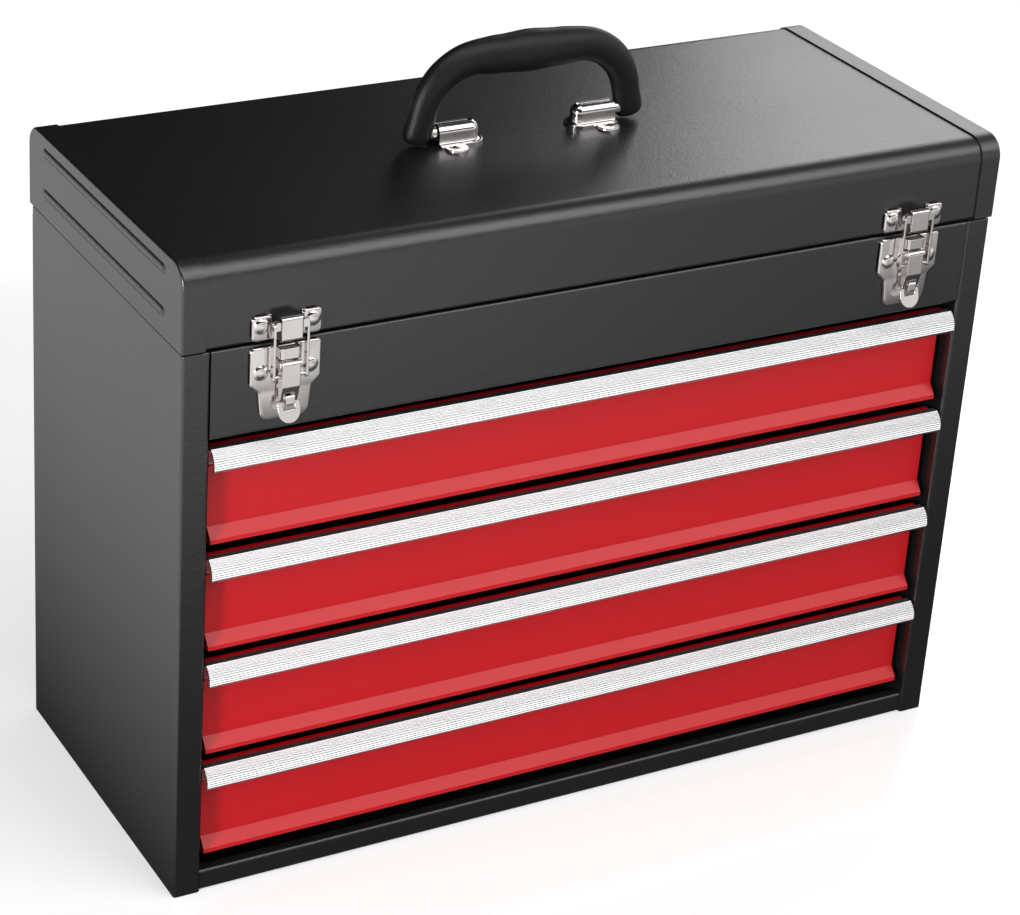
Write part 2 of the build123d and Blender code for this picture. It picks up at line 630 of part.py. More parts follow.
# ---------------------------------------------------------------- latches
def latch_base_rivet_places():
    """(x, z) of the latch base rivets on the cabinet."""
    z = BODY_HEIGHT - BASE_TOP_DROP - BASE_RIVET_DROP
    return [(side * LATCH_X + half * BASE_RIVET_SPACING / 2, z)
            for side in (-1, 1) for half in (-1, 1)]


def strike_rivet_places():
    """(x, z) of the strike rivets on the lid's front."""
    z = SKIRT_Z + STRIKE_LIFT + STRIKE_RIVET_RISE
    return [(side * LATCH_X + half * STRIKE_RIVET_SPACING / 2, z)
            for side in (-1, 1) for half in (-1, 1)]


def stand_plate(face, low, high):
    """Extrude a face drawn in (x, z) between two stand-offs from the cabinet's front."""
    return along_y(face, -HALF_D - high, -HALF_D - low)


def profile_latch(points, gauge, width, side=1, bend=0.4):
    """Bent strip drawn in (stand-off, z), centred on the latch's middle."""
    face = strip([(-HALF_D - stand, z) for stand, z in points], gauge, bend=bend, side=side)
    return along_x(face, -width / 2, width / 2)


def latch_base():
    """Shield-shaped plate with the bridge, the pivot ears and the padlock staple."""
    top = BODY_HEIGHT - BASE_TOP_DROP
    half = BASE_PLATE_WIDTH / 2
    taper = BASE_TAPER_WIDTH / 2
    foot = BASE_FOOT_WIDTH / 2
    points = [(-half, top), (half, top), (half, top - BASE_SHOULDER_DROP),
              (taper, top - BASE_TAPER_DROP), (foot, top - BASE_PLATE_HEIGHT),
              (-foot, top - BASE_PLATE_HEIGHT), (-taper, top - BASE_TAPER_DROP),
              (-half, top - BASE_SHOULDER_DROP)]
    radii = [STRIKE_CORNER, STRIKE_CORNER, BASE_CORNER / 2, BASE_CORNER / 2, BASE_CORNER,
             BASE_CORNER, BASE_CORNER / 2, BASE_CORNER / 2]
    outline = make_face(FilletPolyline(*points, radius=radii, close=True).edges())
    plate = stand_plate(outline, 0, LATCH_GAUGE)
    # bridge: a short channel whose side walls grow out of the plate
    bridge_low = top - BRIDGE_HEIGHT
    bridge = [(-BRIDGE_WIDTH / 2, -HALF_D - GAUGE / 2), (-BRIDGE_WIDTH / 2, -HALF_D - BRIDGE_STAND),
              (BRIDGE_WIDTH / 2, -HALF_D - BRIDGE_STAND), (BRIDGE_WIDTH / 2, -HALF_D - GAUGE / 2)]
    plate = plate + along_z(strip(bridge, LATCH_GAUGE, side=1), bridge_low, top)
    # ears that carry the lever's pin
    ear_low = LEVER_WIDTH / 2 + EAR_GAP
    ear_face = block(ear_low, ear_low + LATCH_GAUGE, -HALF_D - LATCH_PIN_STAND,
                     -HALF_D - LATCH_GAUGE / 2, LATCH_PIN_Z - EAR_RADIUS, LATCH_PIN_Z + EAR_RADIUS)
    ear = ear_face + rod_x(ear_low, ear_low + LATCH_GAUGE, -HALF_D - LATCH_PIN_STAND,
                           LATCH_PIN_Z, EAR_RADIUS)
    plate = plate + ear + mirror(ear, Plane.YZ)
    plate = plate - rod_x(-BASE_PLATE_WIDTH, BASE_PLATE_WIDTH, -HALF_D - LATCH_PIN_STAND,
                          LATCH_PIN_Z, LEVER_PIN_RADIUS)
    # staple that shows through the lever's window
    staple_top = LATCH_PIN_Z - STAPLE_TOP
    staple_low = staple_top - STAPLE_HEIGHT
    loop = [(GAUGE / 2, staple_top), (LEVER_STAND, staple_top), (LEVER_STAND, staple_low),
            (GAUGE / 2, staple_low)]
    plate = plate + profile_latch(loop, LATCH_GAUGE, STAPLE_WIDTH)
    z = top - BASE_RIVET_DROP
    for x in (-BASE_RIVET_SPACING / 2, BASE_RIVET_SPACING / 2):
        plate = plate - Pos(x, -HALF_D, z) * FACING_FRONT * Cylinder(RIVET_SHANK, 6 * GAUGE)
    return plate


def lever_pin():
    """Pin between the base's ears; the lever turns on it."""
    reach = LEVER_WIDTH / 2 + EAR_GAP + LATCH_GAUGE
    return rod_x(-reach, reach, -HALF_D - LATCH_PIN_STAND, LATCH_PIN_Z, LEVER_PIN_RADIUS)


def latch_lever():
    """Lever: a channel with a rounded nose, a sloped window and a turned-out finger tab."""
    pin_y = -HALF_D - LATCH_PIN_STAND
    z = LATCH_PIN_Z
    straight = z - LEVER_STRAIGHT
    slope = z - LEVER_SLOPE
    tip = z - LEVER_LENGTH
    # web, from the nose down to the tip of the tab
    web = [(LEVER_STAND, z), (LEVER_STAND, straight), (LEVER_SLOPE_STAND, slope), (TAB_STAND, tip)]
    sheet = profile_latch(web, LATCH_GAUGE, TAB_WIDTH, side=1, bend=2.0)
    # front view: narrow channel above, round-ended tab below
    neck = Pos(0, (z + slope) / 2) * Rectangle(LEVER_WIDTH, z - slope)
    tab_high = slope + LATCH_GAUGE
    tab_low = tip + TAB_WIDTH / 2
    tab = Pos(0, (tab_high + tab_low) / 2) * Rectangle(TAB_WIDTH, tab_high - tab_low)
    tab = tab + Pos(0, tab_low) * Circle(TAB_WIDTH / 2)
    window_mid = z - (WINDOW_TOP + WINDOW_BOTTOM) / 2
    window = Pos(0, window_mid) * RectangleRounded(WINDOW_WIDTH, WINDOW_BOTTOM - WINDOW_TOP, 1.2)
    outline = neck + tab - window
    lever = sheet & stand_plate(outline, 0, 2 * TAB_STAND)
    # nose wrapped round the pin
    nose = rod_x(-LEVER_WIDTH / 2, LEVER_WIDTH / 2, pin_y, z, LEVER_NOSE)
    lever = lever + (nose & block(-LEVER_WIDTH, LEVER_WIDTH, pin_y - LEVER_STAND, pin_y + LEVER_STAND,
                                  z, z + LEVER_STAND))
    # side flanges
    back = LATCH_PIN_STAND - LEVER_NOSE
    side_points = [(LEVER_STAND - LATCH_GAUGE / 2, z), (LEVER_STAND - LATCH_GAUGE / 2, straight),
                   (LEVER_SLOPE_STAND - LATCH_GAUGE / 2, slope),
                   (LEVER_SLOPE_STAND - 1.5 * LATCH_GAUGE, slope), (back, straight), (back, z)]
    flange_face = make_face(Polyline(*[(-HALF_D - s, h) for s, h in side_points], close=True))
    flange = along_x(flange_face, LEVER_WIDTH / 2 - LATCH_GAUGE, LEVER_WIDTH / 2)
    lever = lever + flange + mirror(flange, Plane.YZ)
    inner = LEVER_WIDTH / 2 - LATCH_GAUGE
    hollow = rod_x(-inner, inner, pin_y, z, LEVER_NOSE - LATCH_GAUGE)
    hollow = hollow + block(-inner, inner, pin_y, pin_y + LEVER_STAND, z - LEVER_NOSE + LATCH_GAUGE,
                            z + LEVER_NOSE - LATCH_GAUGE)
    lever = lever - hollow
    lever = lever - rod_x(-LEVER_WIDTH, LEVER_WIDTH, pin_y, z, LEVER_PIN_RADIUS + LATCH_RUNNING)
    bore = BAIL_ROD_RADIUS + LATCH_RUNNING
    return lever - rod_x(-LEVER_WIDTH, LEVER_WIDTH, pin_y, BAIL_Z, bore)


def latch_bail():
    """Draw loop: a rod through the lever, two flat arms, and hooks that reach in towards the
    strike's tongue."""
    pin_y = -HALF_D - LATCH_PIN_STAND
    arm_in = BAIL_SPREAD / 2
    arm_out = arm_in + BAIL_ARM
    rod = rod_x(-arm_out, arm_out, pin_y, BAIL_Z, BAIL_ROD_RADIUS)
    top = BAIL_Z + BAIL_RISE
    half = BAIL_ARM_DEPTH / 2
    length = top - BAIL_HOOK / 2 - BAIL_Z + BAIL_FOOT
    side_view = Pos(pin_y, BAIL_Z - BAIL_FOOT + length / 2) * RectangleRounded(
        BAIL_ARM_DEPTH, length, 0.9 * half)
    arm = along_x(side_view, arm_in, arm_out)
    hook_in = TONGUE_WIDTH / 2 + TONGUE_BACK_GAP
    low = top - BAIL_HOOK
    corners = [(hook_in, low), (arm_out, low), (arm_out, top), (hook_in, top)]
    outline = FilletPolyline(*corners, radius=[0.6, 0, BAIL_HOOK / 2, 0.6], close=True)
    hook = along_y(make_face(outline.edges()), pin_y - half, pin_y + half)
    arm = arm + hook
    return rod + arm + mirror(arm, Plane.YZ)


def latch_strike():
    """Plate on the lid with two riveted tabs and the raised tongue between them."""
    low = SKIRT_Z + STRIKE_LIFT
    high = low + STRIKE_HEIGHT
    half = STRIKE_WIDTH / 2
    outline = Pos(0, (low + high) / 2) * RectangleRounded(STRIKE_WIDTH, STRIKE_HEIGHT,
                                                          STRIKE_CORNER)
    middle = STRIKE_WIDTH - 2 * STRIKE_TAB
    gap = Pos(0, high) * Rectangle(middle, STRIKE_HEIGHT)
    seat = LID_OVERHANG
    plate = stand_plate(outline - gap, seat, seat + LATCH_GAUGE)
    tongue = [(seat + LATCH_GAUGE / 2, low), (TONGUE_STAND, low), (TONGUE_STAND, high),
              (TONGUE_STAND - TONGUE_RETURN, high)]
    plate = plate + profile_latch(tongue, LATCH_GAUGE, TONGUE_WIDTH, side=-1, bend=0.8)
    for x in (-STRIKE_RIVET_SPACING / 2, STRIKE_RIVET_SPACING / 2):
        hole = Pos(x, -HALF_D, low + STRIKE_RIVET_RISE) * FACING_FRONT
        plate = plate - hole * Cylinder(RIVET_SHANK, 8 * GAUGE)
    return plate


def front_rivets(places, seat, grip):
    """Dome rivets on plates whose outer face stands off by seat."""
    shape = rivet(RIVET_HEAD, RIVET_DOME, RIVET_SHANK, grip)
    return [Pos(x, -HALF_D - seat, z) * FACING_FRONT * shape for x, z in places]


# ---------------------------------------------------------------- writing the pieces
os.makedirs("parts", exist_ok=True)


def save(name, solids):
    """Write one named piece, or one group of separate solids."""
    items = solids if isinstance(solids, list) else [solids]
    loose = []
    for item in items:
        loose += item.solids()
    shape = loose[0] if len(loose) == 1 else Compound(children=loose)
    export_step(shape, "parts/" + name + ".step")


def save_pair(name, right):
    """Write a right-hand piece and its mirror image."""
    items = right if isinstance(right, list) else [right]
    save(name + "_right", items)
    save(name + "_left", [mirror(item, Plane.YZ) for item in items])


save_pair("side_panel", side_panel())
save("upper_front_panel", upper_front_panel())
save("base_pan", base_pan())
save("back_panel", back_panel())
save("compartment_floor", compartment_floor())
save_pair("slide_rails", slide_rails())

save("hinge_leaf_lower", hinge_leaf(False))
save("hinge_leaf_upper", hinge_leaf(True))
save("hinge_pin", hinge_pin())
save("hinge_rivets_lower", hinge_rivets(PIN_Z - SKIRT_ABOVE_PIN - LEAF_WIDTH / 2))
save("hinge_rivets_upper", hinge_rivets(PIN_Z + SKIRT_ABOVE_PIN + LEAF_WIDTH / 2))

save("lid_panel", lid_panel())
save_pair("lid_cap", lid_cap())

core = handle_core()
save("handle_core", core)
save("handle_grip", handle_grip(core))
save_pair("handle_bracket", handle_bracket())
save("bracket_rivets", bracket_rivets())

for number in range(DRAWERS):
    title = "drawer_" + str(number + 1)
    save(title + "_front", drawer_front(number))
    save(title + "_pull", drawer_pull(number))
    save(title + "_tray", drawer_tray(number))
    save(title + "_slides", drawer_slides(number))

base = latch_base()
lever = latch_lever()
pin = lever_pin()
bail = latch_bail()
strike = latch_strike()
for title, side in (("left", -1), ("right", 1)):
    place = Pos(side * LATCH_X, 0, 0)
    save("latch_base_" + title, place * base)
    save("latch_pin_" + title, place * pin)
    save("latch_lever_" + title, place * lever)
    save("latch_bail_" + title, place * bail)
    save("latch_strike_" + title, place * strike)
save("latch_base_rivets", front_rivets(latch_base_rivet_places(), LATCH_GAUGE,
                                       LATCH_GAUGE + GAUGE))
save("strike_rivets", front_rivets(strike_rivet_places(), LATCH_GAUGE + LID_OVERHANG,
                                   LATCH_GAUGE + GAUGE))
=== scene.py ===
"""Finishes, fine pieces, studio and camera for a portable steel tool box with drawers."""

import logging
import math
from dataclasses import dataclass
from enum import Enum
from typing import Iterable

import bmesh
import bpy
from mathutils import Matrix, Vector


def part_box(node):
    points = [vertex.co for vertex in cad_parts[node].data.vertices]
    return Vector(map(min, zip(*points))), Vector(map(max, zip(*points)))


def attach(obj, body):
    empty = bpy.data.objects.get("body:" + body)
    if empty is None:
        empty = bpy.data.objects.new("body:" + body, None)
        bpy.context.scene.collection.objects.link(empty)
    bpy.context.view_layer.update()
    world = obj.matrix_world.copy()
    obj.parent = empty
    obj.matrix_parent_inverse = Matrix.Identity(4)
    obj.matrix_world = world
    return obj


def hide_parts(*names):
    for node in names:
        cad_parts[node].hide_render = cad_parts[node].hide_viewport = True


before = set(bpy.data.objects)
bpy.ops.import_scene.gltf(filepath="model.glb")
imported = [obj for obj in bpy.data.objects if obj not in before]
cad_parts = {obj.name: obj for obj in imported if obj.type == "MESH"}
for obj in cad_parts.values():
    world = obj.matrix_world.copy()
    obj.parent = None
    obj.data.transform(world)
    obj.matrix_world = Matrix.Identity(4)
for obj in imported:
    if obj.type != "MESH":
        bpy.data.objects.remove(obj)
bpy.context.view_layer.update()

LOG = logging.getLogger("tool_box")
MM = 0.001
COAT_DEPTH = 0.2 * MM     # height of the bumps in a sprayed coat
METAL_DEPTH = 0.05 * MM
GRAIN_DEPTH = 0.2 * MM
Colour = tuple[float, float, float]
Triple = tuple[float, float, float]


class Side(Enum):
    """The two ends of the box."""

    LEFT = "left"
    RIGHT = "right"


class Grain(Enum):
    """Direction in which a metal finish was drawn or brushed, as a stretch of the noise."""

    ALONG_X = (0.012, 1.0, 1.0)
    ALONG_Z = (1.0, 1.0, 0.03)
    NONE = (1.0, 1.0, 1.0)


# ---------------------------------------------------------------- shader helpers
class Graph:
    """Adds nodes and links to one node tree."""

    def __init__(self, tree: bpy.types.NodeTree) -> None:
        """Keeps the tree.

        Args:
            tree: node tree of a material, a world or a group.
        """
        self.tree = tree

    def add(self, kind: str, settings: dict[str, object] | None = None,
            values: dict[str, object] | None = None) -> bpy.types.Node:
        """Adds one node.

        Args:
            kind: Blender's name of the node's type.
            settings: properties of the node.
            values: default values of its input sockets, by name.

        Returns:
            The new node.
        """
        node = self.tree.nodes.new(kind)
        for name, value in (settings or {}).items():
            setattr(node, name, value)
        for name, value in (values or {}).items():
            node.inputs[name].default_value = value
        return node

    def link(self, source: bpy.types.NodeSocket, target: bpy.types.NodeSocket) -> None:
        """Joins an output socket to an input socket."""
        self.tree.links.new(source, target)

    def math(self, operation: str, first: object, second: object = 0.0,
             clamp: bool = False) -> bpy.types.NodeSocket:
        """Adds a Math node.

        Args:
            operation: name of the operation.
            first: socket or number for the first input.
            second: socket or number for the second input.
            clamp: whether the result is kept from 0 to 1.

        Returns:
            The node's output socket.
        """
        node = self.add("ShaderNodeMath", {"operation": operation, "use_clamp": clamp})
        for socket, value in zip(node.inputs, (first, second)):
            if isinstance(value, bpy.types.NodeSocket):
                self.link(value, socket)
            else:
                socket.default_value = value
        return node.outputs[0]

    def ramp(self, source: bpy.types.NodeSocket, low: float, high: float, to_low: float,
             to_high: float, kind: str = "SMOOTHSTEP") -> bpy.types.NodeSocket:
        """Maps a value from one range to another.

        Args:
            source: value to map.
            low: start of the source range.
            high: end of the source range.
            to_low: result at low.
            to_high: result at high.
            kind: how the result runs between the two.

        Returns:
            The mapped value.
        """
        node = self.add("ShaderNodeMapRange", {"interpolation_type": kind},
                        {"From Min": low, "From Max": high, "To Min": to_low, "To Max": to_high})
        self.link(source, node.inputs["Value"])
        return node.outputs["Result"]


def new_group(name: str, inputs: Iterable[tuple[str, str, object]],
              outputs: Iterable[tuple[str, str]]) -> tuple[bpy.types.NodeTree, Graph,
                                                         bpy.types.Node, bpy.types.Node]:
    """Makes an empty shader node group.

    Args:
        name: the group's name.
        inputs: name, socket type and default value of each input.
        outputs: name and socket type of each output.

    Returns:
        The group, its graph, and its input and output nodes.
    """
    group = bpy.data.node_groups.new(name, "ShaderNodeTree")
    for label, kind, value in inputs:
        socket = group.interface.new_socket(label, in_out="INPUT", socket_type=kind)
        if value is not None:
            socket.default_value = value
    for label, kind in outputs:
        group.interface.new_socket(label, in_out="OUTPUT", socket_type=kind)
    graph = Graph(group)
    return group, graph, graph.add("NodeGroupInput"), graph.add("NodeGroupOutput")


def build_coat_texture() -> bpy.types.NodeTree:
    """Fine orange-peel and grit of a sprayed coat.

    Returns:
        A group with the height of the texture and a slow drift of its gloss.
    """
    group, graph, start, end = new_group(
        "Coat texture",
        [("Vector", "NodeSocketVector", None), ("Grit per metre", "NodeSocketFloat", 1500.0),
         ("Peel per metre", "NodeSocketFloat", 260.0), ("Drift", "NodeSocketFloat", 0.06)],
        [("Height", "NodeSocketFloat"), ("Gloss drift", "NodeSocketFloat")])
    grit = graph.add("ShaderNodeTexNoise", values={"Detail": 3.0, "Roughness": 0.6})
    peel = graph.add("ShaderNodeTexNoise", values={"Detail": 2.0, "Roughness": 0.5})
    slow = graph.add("ShaderNodeTexNoise", values={"Scale": 9.0, "Detail": 3.0})
    for noise in (grit, peel, slow):
        graph.link(start.outputs["Vector"], noise.inputs["Vector"])
    graph.link(start.outputs["Grit per metre"], grit.inputs["Scale"])
    graph.link(start.outputs["Peel per metre"], peel.inputs["Scale"])
    height = graph.math("ADD", grit.outputs[0], graph.math("MULTIPLY", peel.outputs[0], 0.6))
    centred = graph.math("SUBTRACT", slow.outputs[0], 0.5)
    graph.link(height, end.inputs["Height"])
    graph.link(graph.math("MULTIPLY", centred, start.outputs["Drift"]),
               end.inputs["Gloss drift"])
    return group


def build_edge_mask() -> bpy.types.NodeTree:
    """Mask of outer edges, broken up as handling wears them; the colour it brings is partly wear
    and partly painted highlight.

    Returns:
        A group with a mask that is 1 on an edge where wear and painted highlight show.
    """
    group, graph, start, end = new_group(
        "Edge mask",
        [("Vector", "NodeSocketVector", None), ("Width", "NodeSocketFloat", 0.0008),
         ("Breaks per metre", "NodeSocketFloat", 160.0), ("Amount", "NodeSocketFloat", 1.0)],
        [("Mask", "NodeSocketFloat")])
    rounded = graph.add("ShaderNodeBevel", {"samples": 4})
    graph.link(start.outputs["Width"], rounded.inputs["Radius"])
    flat = graph.add("ShaderNodeNewGeometry")
    dot = graph.add("ShaderNodeVectorMath", {"operation": "DOT_PRODUCT"})
    graph.link(rounded.outputs["Normal"], dot.inputs[0])
    graph.link(flat.outputs["Normal"], dot.inputs[1])
    bent = graph.ramp(dot.outputs["Value"], 0.995, 0.8, 0.0, 1.0)
    noise = graph.add("ShaderNodeTexNoise", values={"Detail": 4.0})
    graph.link(start.outputs["Vector"], noise.inputs["Vector"])
    graph.link(start.outputs["Breaks per metre"], noise.inputs["Scale"])
    broken = graph.ramp(noise.outputs[0], 0.42, 0.68, 0.25, 1.0)
    # edges that take the lighter colour: partly wear, partly painted highlight
    wear_and_highlight = graph.math("MULTIPLY", bent, broken)
    graph.link(graph.math("MULTIPLY", wear_and_highlight, start.outputs["Amount"], clamp=True),
               end.inputs["Mask"])
    return group


def build_drawn_lines() -> bpy.types.NodeTree:
    """Fine lines that a die or a brush leaves on metal.

    Returns:
        A group with the height of the lines and the change of roughness across them.
    """
    group, graph, start, end = new_group(
        "Drawn lines",
        [("Vector", "NodeSocketVector", None), ("Stretch", "NodeSocketVector", (1.0, 1.0, 1.0)),
         ("Lines per metre", "NodeSocketFloat", 2400.0), ("Spread", "NodeSocketFloat", 0.1)],
        [("Height", "NodeSocketFloat"), ("Roughness change", "NodeSocketFloat")])
    stretched = graph.add("ShaderNodeVectorMath", {"operation": "MULTIPLY"})
    graph.link(start.outputs["Vector"], stretched.inputs[0])
    graph.link(start.outputs["Stretch"], stretched.inputs[1])
    lines = graph.add("ShaderNodeTexNoise", values={"Detail": 3.0, "Roughness": 0.65})
    graph.link(stretched.outputs[0], lines.inputs["Vector"])
    graph.link(start.outputs["Lines per metre"], lines.inputs["Scale"])
    smudge = graph.add("ShaderNodeTexNoise", values={"Scale": 35.0, "Detail": 4.0})
    graph.link(start.outputs["Vector"], smudge.inputs["Vector"])
    both = graph.math("ADD", lines.outputs[0], smudge.outputs[0])
    centred = graph.math("SUBTRACT", both, 1.0)
    graph.link(lines.outputs[0], end.inputs["Height"])
    graph.link(graph.math("MULTIPLY", centred, start.outputs["Spread"]),
               end.inputs["Roughness change"])
    return group


def build_leather_grain() -> bpy.types.NodeTree:
    """Small pebbles of a moulded soft-plastic grip.

    Returns:
        A group with the height of the grain and the polish on its tops.
    """
    group, graph, start, end = new_group(
        "Moulded grain",
        [("Vector", "NodeSocketVector", None), ("Pebbles per metre", "NodeSocketFloat", 900.0)],
        [("Height", "NodeSocketFloat"), ("Polish", "NodeSocketFloat")])
    cells = graph.add("ShaderNodeTexVoronoi", {"feature": "SMOOTH_F1"}, {"Smoothness": 0.6})
    fine = graph.add("ShaderNodeTexNoise", values={"Detail": 3.0})
    for node in (cells, fine):
        graph.link(start.outputs["Vector"], node.inputs["Vector"])
        graph.link(start.outputs["Pebbles per metre"], node.inputs["Scale"])
    height = graph.math("SUBTRACT", graph.math("MULTIPLY", fine.outputs[0], 0.5),
                        cells.outputs["Distance"])
    graph.link(height, end.inputs["Height"])
    graph.link(graph.ramp(height, -0.4, 0.1, 0.0, 1.0), end.inputs["Polish"])
    return group


@dataclass(frozen=True)
class Effects:
    """The node groups that the finishes share."""

    coat: bpy.types.NodeTree
    edges: bpy.types.NodeTree
    lines: bpy.types.NodeTree
    grain: bpy.types.NodeTree

    @staticmethod
    def build() -> "Effects":
        """Builds every group once."""
        return Effects(build_coat_texture(), build_edge_mask(), build_drawn_lines(),
                       build_leather_grain())


class Surface:
    """A material with a Principled shader and the row frame's coordinates."""

    def __init__(self, name: str, constants: dict[str, object]) -> None:
        """Starts the material.

        Args:
            name: the material's name.
            constants: values of the shader's own sockets.
        """
        self.material = bpy.data.materials.new(name)
        self.material.use_nodes = True
        tree = self.material.node_tree
        tree.nodes.clear()
        self.graph = Graph(tree)
        self.shader = self.graph.add("ShaderNodeBsdfPrincipled", values=constants)
        out = self.graph.add("ShaderNodeOutputMaterial")
        self.graph.link(self.shader.outputs[0], out.inputs["Surface"])
        self.place = self.graph.add("ShaderNodeTexCoord").outputs["Object"]

    def effect(self, group: bpy.types.NodeTree, values: dict[str, object]) -> bpy.types.Node:
        """Places one shared group, fed with the surface's coordinates.

        Args:
            group: the shared node group.
            values: the values of its inputs for this material.

        Returns:
            The group's node.
        """
        node = self.graph.add("ShaderNodeGroup", {"node_tree": group}, values)
        self.graph.link(self.place, node.inputs["Vector"])
        return node

    def bump(self, height: bpy.types.NodeSocket, strength: float, distance: float,
             rounding: float = 0.0) -> None:
        """Feeds a height to the shader's normal.

        Args:
            height: the height's socket.
            strength: strength of the bump.
            distance: height of the bump in metres.
            rounding: radius in metres to which sharp edges look broken.
        """
        bump = self.graph.add("ShaderNodeBump", values={"Strength": strength,
                                                        "Distance": distance})
        if rounding:
            rounded = self.graph.add("ShaderNodeBevel", {"samples": 8}, {"Radius": rounding})
            self.graph.link(rounded.outputs["Normal"], bump.inputs["Normal"])
        self.graph.link(height, bump.inputs["Height"])
        self.graph.link(bump.outputs["Normal"], self.shader.inputs["Normal"])

    def roughness(self, base: float, change: bpy.types.NodeSocket) -> None:
        """Feeds a roughness that varies round a base value."""
        self.graph.link(self.graph.math("ADD", change, base, clamp=True),
                        self.shader.inputs["Roughness"])

    def blend_colour(self, mask: bpy.types.NodeSocket, base: Colour, other: Colour) -> None:
        """Feeds a base colour that turns to another one under a mask.

        Args:
            mask: where the other colour shows.
            base: colour without the mask.
            other: colour under the mask.
        """
        mix = self.graph.add("ShaderNodeMix", {"data_type": "RGBA"})
        self.graph.link(mask, mix.inputs["Factor"])
        mix.inputs["A"].default_value = (*base, 1.0)
        mix.inputs["B"].default_value = (*other, 1.0)
        self.graph.link(mix.outputs["Result"], self.shader.inputs["Base Color"])


# ---------------------------------------------------------------- finishes
@dataclass(frozen=True)
class SprayedCoat:
    """Powder coat or paint on sheet steel."""

    name: str
    colour: Colour
    edge_wear_and_highlight_colour: Colour
    roughness: float
    grit: float
    bump: float
    specular: float
    edge: float = 0.5

    def build(self, effects: Effects) -> bpy.types.Material:
        """Builds the material.

        Args:
            effects: the shared node groups.

        Returns:
            The finished material.
        """
        surface = Surface(self.name, {"Metallic": 0.0, "IOR": 1.5,
                                      "Specular IOR Level": self.specular})
        coat = surface.effect(effects.coat, {"Grit per metre": self.grit})
        surface.bump(coat.outputs["Height"], self.bump, COAT_DEPTH)
        surface.roughness(self.roughness, coat.outputs["Gloss drift"])
        # lighter colour on the edges: partly wear, partly painted highlight
        edges = surface.effect(effects.edges, {"Amount": self.edge})
        surface.blend_colour(edges.outputs["Mask"], self.colour, self.edge_wear_and_highlight_colour)
        return surface.material


@dataclass(frozen=True)
class BareMetal:
    """Plated, anodised or zinc-coated metal."""

    name: str
    colour: Colour
    shade: Colour
    roughness: float
    grain: Grain
    lines: float
    bump: float
    spread: float
    rounding: float = 0.0

    def build(self, effects: Effects) -> bpy.types.Material:
        """Builds the material.

        Args:
            effects: the shared node groups.

        Returns:
            The finished material.
        """
        surface = Surface(self.name, {"Metallic": 1.0})
        lines = surface.effect(effects.lines, {"Stretch": self.grain.value,
                                               "Lines per metre": self.lines,
                                               "Spread": self.spread})
        surface.bump(lines.outputs["Height"], self.bump, METAL_DEPTH, self.rounding)
        surface.roughness(self.roughness, lines.outputs["Roughness change"])
        tone = surface.graph.ramp(lines.outputs["Height"], 0.3, 0.7, 0.0, 1.0)
        surface.blend_colour(tone, self.shade, self.colour)
        return surface.material


@dataclass(frozen=True)
class SoftPlastic:
    """Moulded soft plastic of the grip."""

    name: str
    colour: Colour
    polish: Colour
    roughness: float
    pebbles: float

    def build(self, effects: Effects) -> bpy.types.Material:
        """Builds the material.

        Args:
            effects: the shared node groups.

        Returns:
            The finished material.
        """
        surface = Surface(self.name, {"Metallic": 0.0, "IOR": 1.48,
                                      "Specular IOR Level": 0.32})
        grain = surface.effect(effects.grain, {"Pebbles per metre": self.pebbles})
        surface.bump(grain.outputs["Height"], 0.6, GRAIN_DEPTH)
        change = surface.graph.ramp(grain.outputs["Polish"], 0.0, 1.0, 0.06, -0.06)
        surface.roughness(self.roughness, change)
        surface.blend_colour(grain.outputs["Polish"], self.colour, self.polish)
        return surface.material


class Palette:
    """Every finish of the box, built once."""

    def __init__(self, effects: Effects) -> None:
        """Builds the materials.

        Args:
            effects: the shared node groups.
        """
        # each coat's second colour is its lighter edge: partly wear, partly painted highlight
        self.cabinet = SprayedCoat("Black textured coat", (0.0065, 0.0065, 0.0068),
                                   (0.04, 0.04, 0.041), 0.32, 900.0, 0.6,
                                   1.0, 0.1).build(effects)
        self.front = SprayedCoat("Red satin paint", (0.53, 0.004, 0.009), (0.62, 0.05, 0.055),
                                 0.34, 1100.0, 0.06, 0.45).build(effects)
        self.tray = SprayedCoat("Black tray paint", (0.02, 0.02, 0.021), (0.06, 0.06, 0.062),
                                0.42, 1300.0, 0.12, 0.5).build(effects)
        self.pull = BareMetal("Satin anodised aluminium", (0.90, 0.905, 0.91),
                              (0.88, 0.885, 0.89), 0.34, Grain.ALONG_X, 2600.0, 0.01,
                              0.02).build(effects)
        self.nickel = BareMetal("Bright nickel plate", (0.76, 0.72, 0.705), (0.73, 0.69, 0.675),
                                0.17, Grain.NONE, 300.0, 0.02, 0.03,
                                0.6 * MM).build(effects)
        self.zinc = BareMetal("Dull zinc plate", (0.60, 0.61, 0.62), (0.48, 0.49, 0.50), 0.36,
                              Grain.ALONG_Z, 700.0, 0.20, 0.14).build(effects)
        self.grip = SoftPlastic("Black soft plastic", (0.0045, 0.0045, 0.0047),
                                (0.010, 0.010, 0.0104), 0.37, 1500.0).build(effects)


# ---------------------------------------------------------------- mesh helpers
def dress(node_names: Iterable[str], material: bpy.types.Material) -> None:
    """Gives CAD nodes one finish.

    Args:
        node_names: names of the nodes.
        material: the finish.
    """
    for name in node_names:
        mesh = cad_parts[name].data
        mesh.materials.clear()
        mesh.materials.append(material)
        LOG.info("%s: %s", name, material.name)


